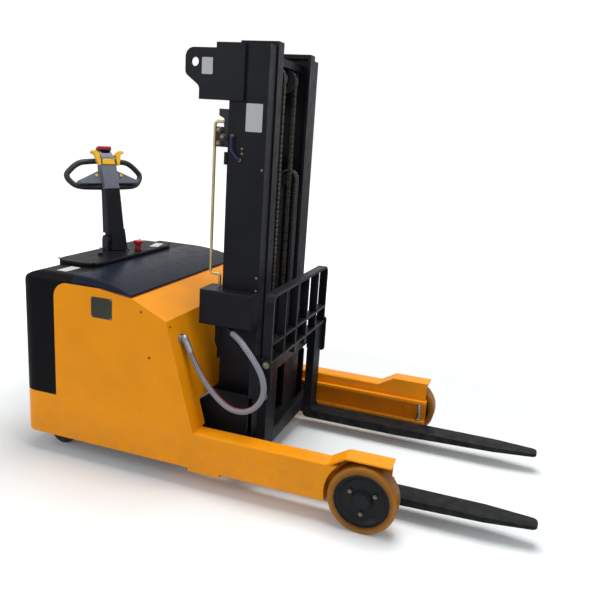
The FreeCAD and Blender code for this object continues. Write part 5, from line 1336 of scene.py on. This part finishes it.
@dataclass
class LoadGuard:
    """Backrest of flat bars on edge, with a frame bent round at its top corners."""

    rear_mm: float = 1062.0
    front_mm: float = 1100.0
    half_mm: float = 362.0
    top_mm: float = 823.0
    middle_mm: float = 625.0
    low_mm: float = 535.0
    bar_mm: float = 12.0
    bend_mm: float = 42.0
    bend_steps: int = 8
    edge_mm: float = 1.6
    edge_segments: int = 2
    upright_mm: Flat = (71.0, 213.0)
    foot_mm: Place = (76.0, 28.0, 29.0)
    foot_middle_mm: Place = (1062.0, 69.0, 521.0)

    def ring(self, inset: float) -> list[Flat]:
        """Corners round the frame.

        Args:
            inset: How far they are set in from its outside.

        Returns:
            Their offsets and heights.
        """
        wide, top, low = self.half_mm - inset, self.top_mm - inset, self.low_mm + inset
        bend = self.bend_mm - inset
        points = [(-wide, low), (wide, low)]
        for quarter, side in enumerate((1, -1)):
            points += arc((side * (wide - bend), top - bend), bend, self.bend_steps, QUARTER * quarter)
        return points

    def frame(self) -> Mesh:
        """Bent outer frame.

        Returns:
            Its mesh.
        """
        work = bmesh.new()
        outer, inner = self.ring(0.0), self.ring(self.bar_mm)
        rear, front = self.rear_mm, self.front_mm
        section = ((rear, outer), (front, outer), (front, inner), (rear, inner))
        skin(work, [[work.verts.new(spot((x, *flat))) for flat in ring] for x, ring in section], loop=True)
        return poured("guard_frame", work, turn_out=True)

    def bar(self, size: Place, middle: Place) -> Mesh:
        """One flat bar, by its sides and its middle."""
        return block("guard_bar", size, self.edge_mm, Matrix.Translation(spot(middle)), self.edge_segments)

    def build(self) -> None:
        """Makes the guard and stands it on the carriage."""
        deep, middle = self.front_mm - self.rear_mm, (self.front_mm + self.rear_mm) / 2
        inside, height = 2 * (self.half_mm - self.bar_mm / 2), self.middle_mm - self.bar_mm / 2
        tall, level = self.top_mm - self.low_mm - self.bar_mm, (self.top_mm + self.low_mm) / 2
        parts = [self.frame(), self.bar((deep, inside, self.bar_mm), (middle, 0.0, height))]
        x, foot, z = self.foot_middle_mm
        for side in (-1, 1):
            parts += [self.bar((deep, self.bar_mm, tall), (middle, side * y, level)) for y in self.upright_mm]
            parts.append(self.bar(self.foot_mm, (x, side * foot, z)))
        piece("load_guard", merged("load_guard", parts), MAST_BLACK, "lift_carriage", "backrest")


@dataclass
class HoodSeal:
    """Seal round the hood's front edge."""

    radius_mm: float = 2.6
    sides: int = 10
    half_line_mm: tuple[Place, ...] = (
        (408.0, 499.6, 781.0), (478.0, 499.6, 772.0), (547.0, 499.6, 763.2), (549.5, 494.0, 762.4),
        (549.5, 250.0, 762.4))
    middle_mm: Place = (549.5, 0.0, 762.4)

    def build(self) -> None:
        """Lays the seal."""
        right = [(x, -y, z) for x, y, z in self.half_line_mm]
        line = spots([*right, self.middle_mm, *reversed(self.half_line_mm)])
        piece("hood_seal", tube("hood_seal", line, self.radius_mm, self.sides), SEAL_RED, "chassis")


@dataclass
class ValvePipe:
    """Short bent pipe from the valve's fitting on the mast's face down to the clamp."""

    radius_mm: float = 4.2
    sides: int = 12
    route_mm: tuple[Place, ...] = (
        (862.0, -286.0, 1406.0), (862.0, -301.0, 1406.0), (862.0, -301.0, 1380.0),
        (862.0, -301.0, 1352.0), (884.0, -301.0, 1330.0), (896.0, -301.0, 1318.0), (896.0, -286.0, 1318.0))
    collar_mm: tuple[Flat, ...] = ((3.6, 0.0), (8.4, 0.0), (8.4, 5.0), (7.2, 6.6), (3.6, 6.6))
    collar_face_mm: float = -287.0
    collar_sides: int = 6

    def build(self) -> None:
        """Makes the pipe and its two collars."""
        pipe = tube("valve_pipe", smooth_line(spots(self.route_mm)), self.radius_mm, self.sides)
        piece("valve_pipe", pipe, WIRE_BLUE, "outer_mast")
        collars = []
        for x, _, z in (self.route_mm[0], self.route_mm[-1]):
            at = stand(spot((x, self.collar_face_mm, z)), (0, -1, 0), (0, 0, 1))
            collars.append(turned("collar", self.collar_mm, at, self.collar_sides))
        piece("valve_collars", merged("valve_collars", collars), WORN_STEEL, "outer_mast")


@dataclass(frozen=True)
class Lamp:
    """A soft square lamp."""

    name: str
    place_m: Place
    aim_m: Place
    watts: float
    colour: Colour
    side_m: float = 2.6

    def build(self) -> None:
        """Hangs the lamp and turns it to its aim."""
        data = bpy.data.lights.new(self.name, "AREA")
        data.energy, data.size = self.watts, self.side_m
        data.color = linear(self.colour)[:3]
        made = linked(self.name, data)
        made.location = self.place_m
        made.rotation_euler = (Vector(self.aim_m) - Vector(self.place_m)).to_track_quat("-Z", "Y").to_euler()


@dataclass
class Studio:
    """Floor, sky, lamps and the camera."""

    lens_mm: float = 38.97
    sensor_mm: float = 36.0
    camera_mm: Place = (1954.0, -2635.3, 1428.2)
    yaw: float = 18.26
    pitch: float = 14.25
    roll: float = 3.92
    sky_light: float = 0.28
    sky_shown: float = 1.0
    floor_m: float = 40.0
    floor_tone: Place = (0.86, 0.90, 0.92)
    floor_roughness: float = 0.9
    floor_specular: float = 0.05
    floor_lift: Flat = (0.06, 0.85)
    floor_fade_m: Flat = (1.5, 3.2)
    lamps: tuple[Lamp, ...] = (
        Lamp("top", (0.1, 0.35, 4.9), (0.0, 0.0, 0.4), 205.0, (255, 253, 250)),
        Lamp("left", (-3.0, -3.4, 2.8), (-0.3, 0.0, 0.6), 62.0, (250, 252, 255)),
        Lamp("right", (3.6, -1.6, 3.0), (0.4, 0.0, 0.6), 26.0, (255, 255, 255)),
    )

    def camera(self) -> None:
        """Sets the camera at the photograph's place."""
        a, e, r = (math.radians(value) for value in (self.yaw, self.pitch, self.roll))
        back = Vector((math.sin(a) * math.cos(e), -math.cos(a) * math.cos(e), math.sin(e)))
        right = Vector((math.cos(a), math.sin(a), 0))
        up = back.cross(right)
        across = right * math.cos(r) + up * math.sin(r)
        above = up * math.cos(r) - right * math.sin(r)
        data = bpy.data.cameras.new("camera")
        data.lens, data.sensor_width = self.lens_mm, self.sensor_mm
        made = linked("camera", data)
        turn = Matrix((across, above, back)).transposed().to_4x4()
        made.matrix_world = Matrix.Translation(spot(self.camera_mm)) @ turn
        bpy.context.scene.camera = made

    def sky(self) -> None:
        """White to the camera and to shine, soft grey as light."""
        world = bpy.data.worlds.new("sky")
        bpy.context.scene.world = world
        world.use_nodes = True
        nodes = Nodes(world.node_tree)
        paths = nodes.node("ShaderNodeLightPath").outputs
        rays = ("Is Camera Ray", "Is Transmission Ray", "Is Glossy Ray")
        shown = nodes.folded("MAXIMUM", *[paths[ray] for ray in rays])
        strength = nodes.ramp(shown, 0.0, 1.0, self.sky_light, self.sky_shown)
        nodes.feed(world.node_tree.nodes["Background"], {"Color": WHITE, "Strength": strength})

    def floor(self) -> None:
        """White floor that keeps the truck's soft shadow."""
        material = bpy.data.materials.new("floor")
        material.use_nodes = True
        nodes = Nodes(material.node_tree)
        away = nodes.measured("LENGTH", nodes.node("ShaderNodeTexCoord").outputs["Object"])
        fade = nodes.ramp(away, *self.floor_fade_m, *self.floor_lift)
        seen = nodes.node("ShaderNodeLightPath").outputs["Is Camera Ray"]
        nodes.feed(material.node_tree.nodes["Principled BSDF"], {
            "Base Color": (*self.floor_tone, 1.0),
            "Roughness": self.floor_roughness,
            "Specular IOR Level": self.floor_specular,
            "Emission Color": WHITE,
            "Emission Strength": nodes.maths("MULTIPLY", seen, fade),
        })
        mesh = bpy.data.meshes.new("floor")
        half = self.floor_m / 2
        corners = [(-half, -half, 0), (half, -half, 0), (half, half, 0), (-half, half, 0)]
        mesh.from_pydata(corners, [], [(0, 1, 2, 3)])
        mesh.materials.append(material)
        linked("floor", mesh)

    def build(self) -> None:
        """Sets the whole studio."""
        bpy.context.scene.view_settings.view_transform = "Standard"
        self.camera()
        self.sky()
        self.floor()
        for lamp in self.lamps:
            lamp.build()


def main() -> None:
    """Builds every sub-assembly's looks in order."""
    logging.basicConfig(level=logging.INFO, format="%(message)s")
    dress_nodes()
    for part in (Studio(), ReachHose(), LiftChains(), MastHoses(), Fasteners(), *PLATES, TillerDetail(),
                 LoadGuard(), HoodSeal(), ValvePipe()):
        part.build()


if __name__ == "__main__":
    main()
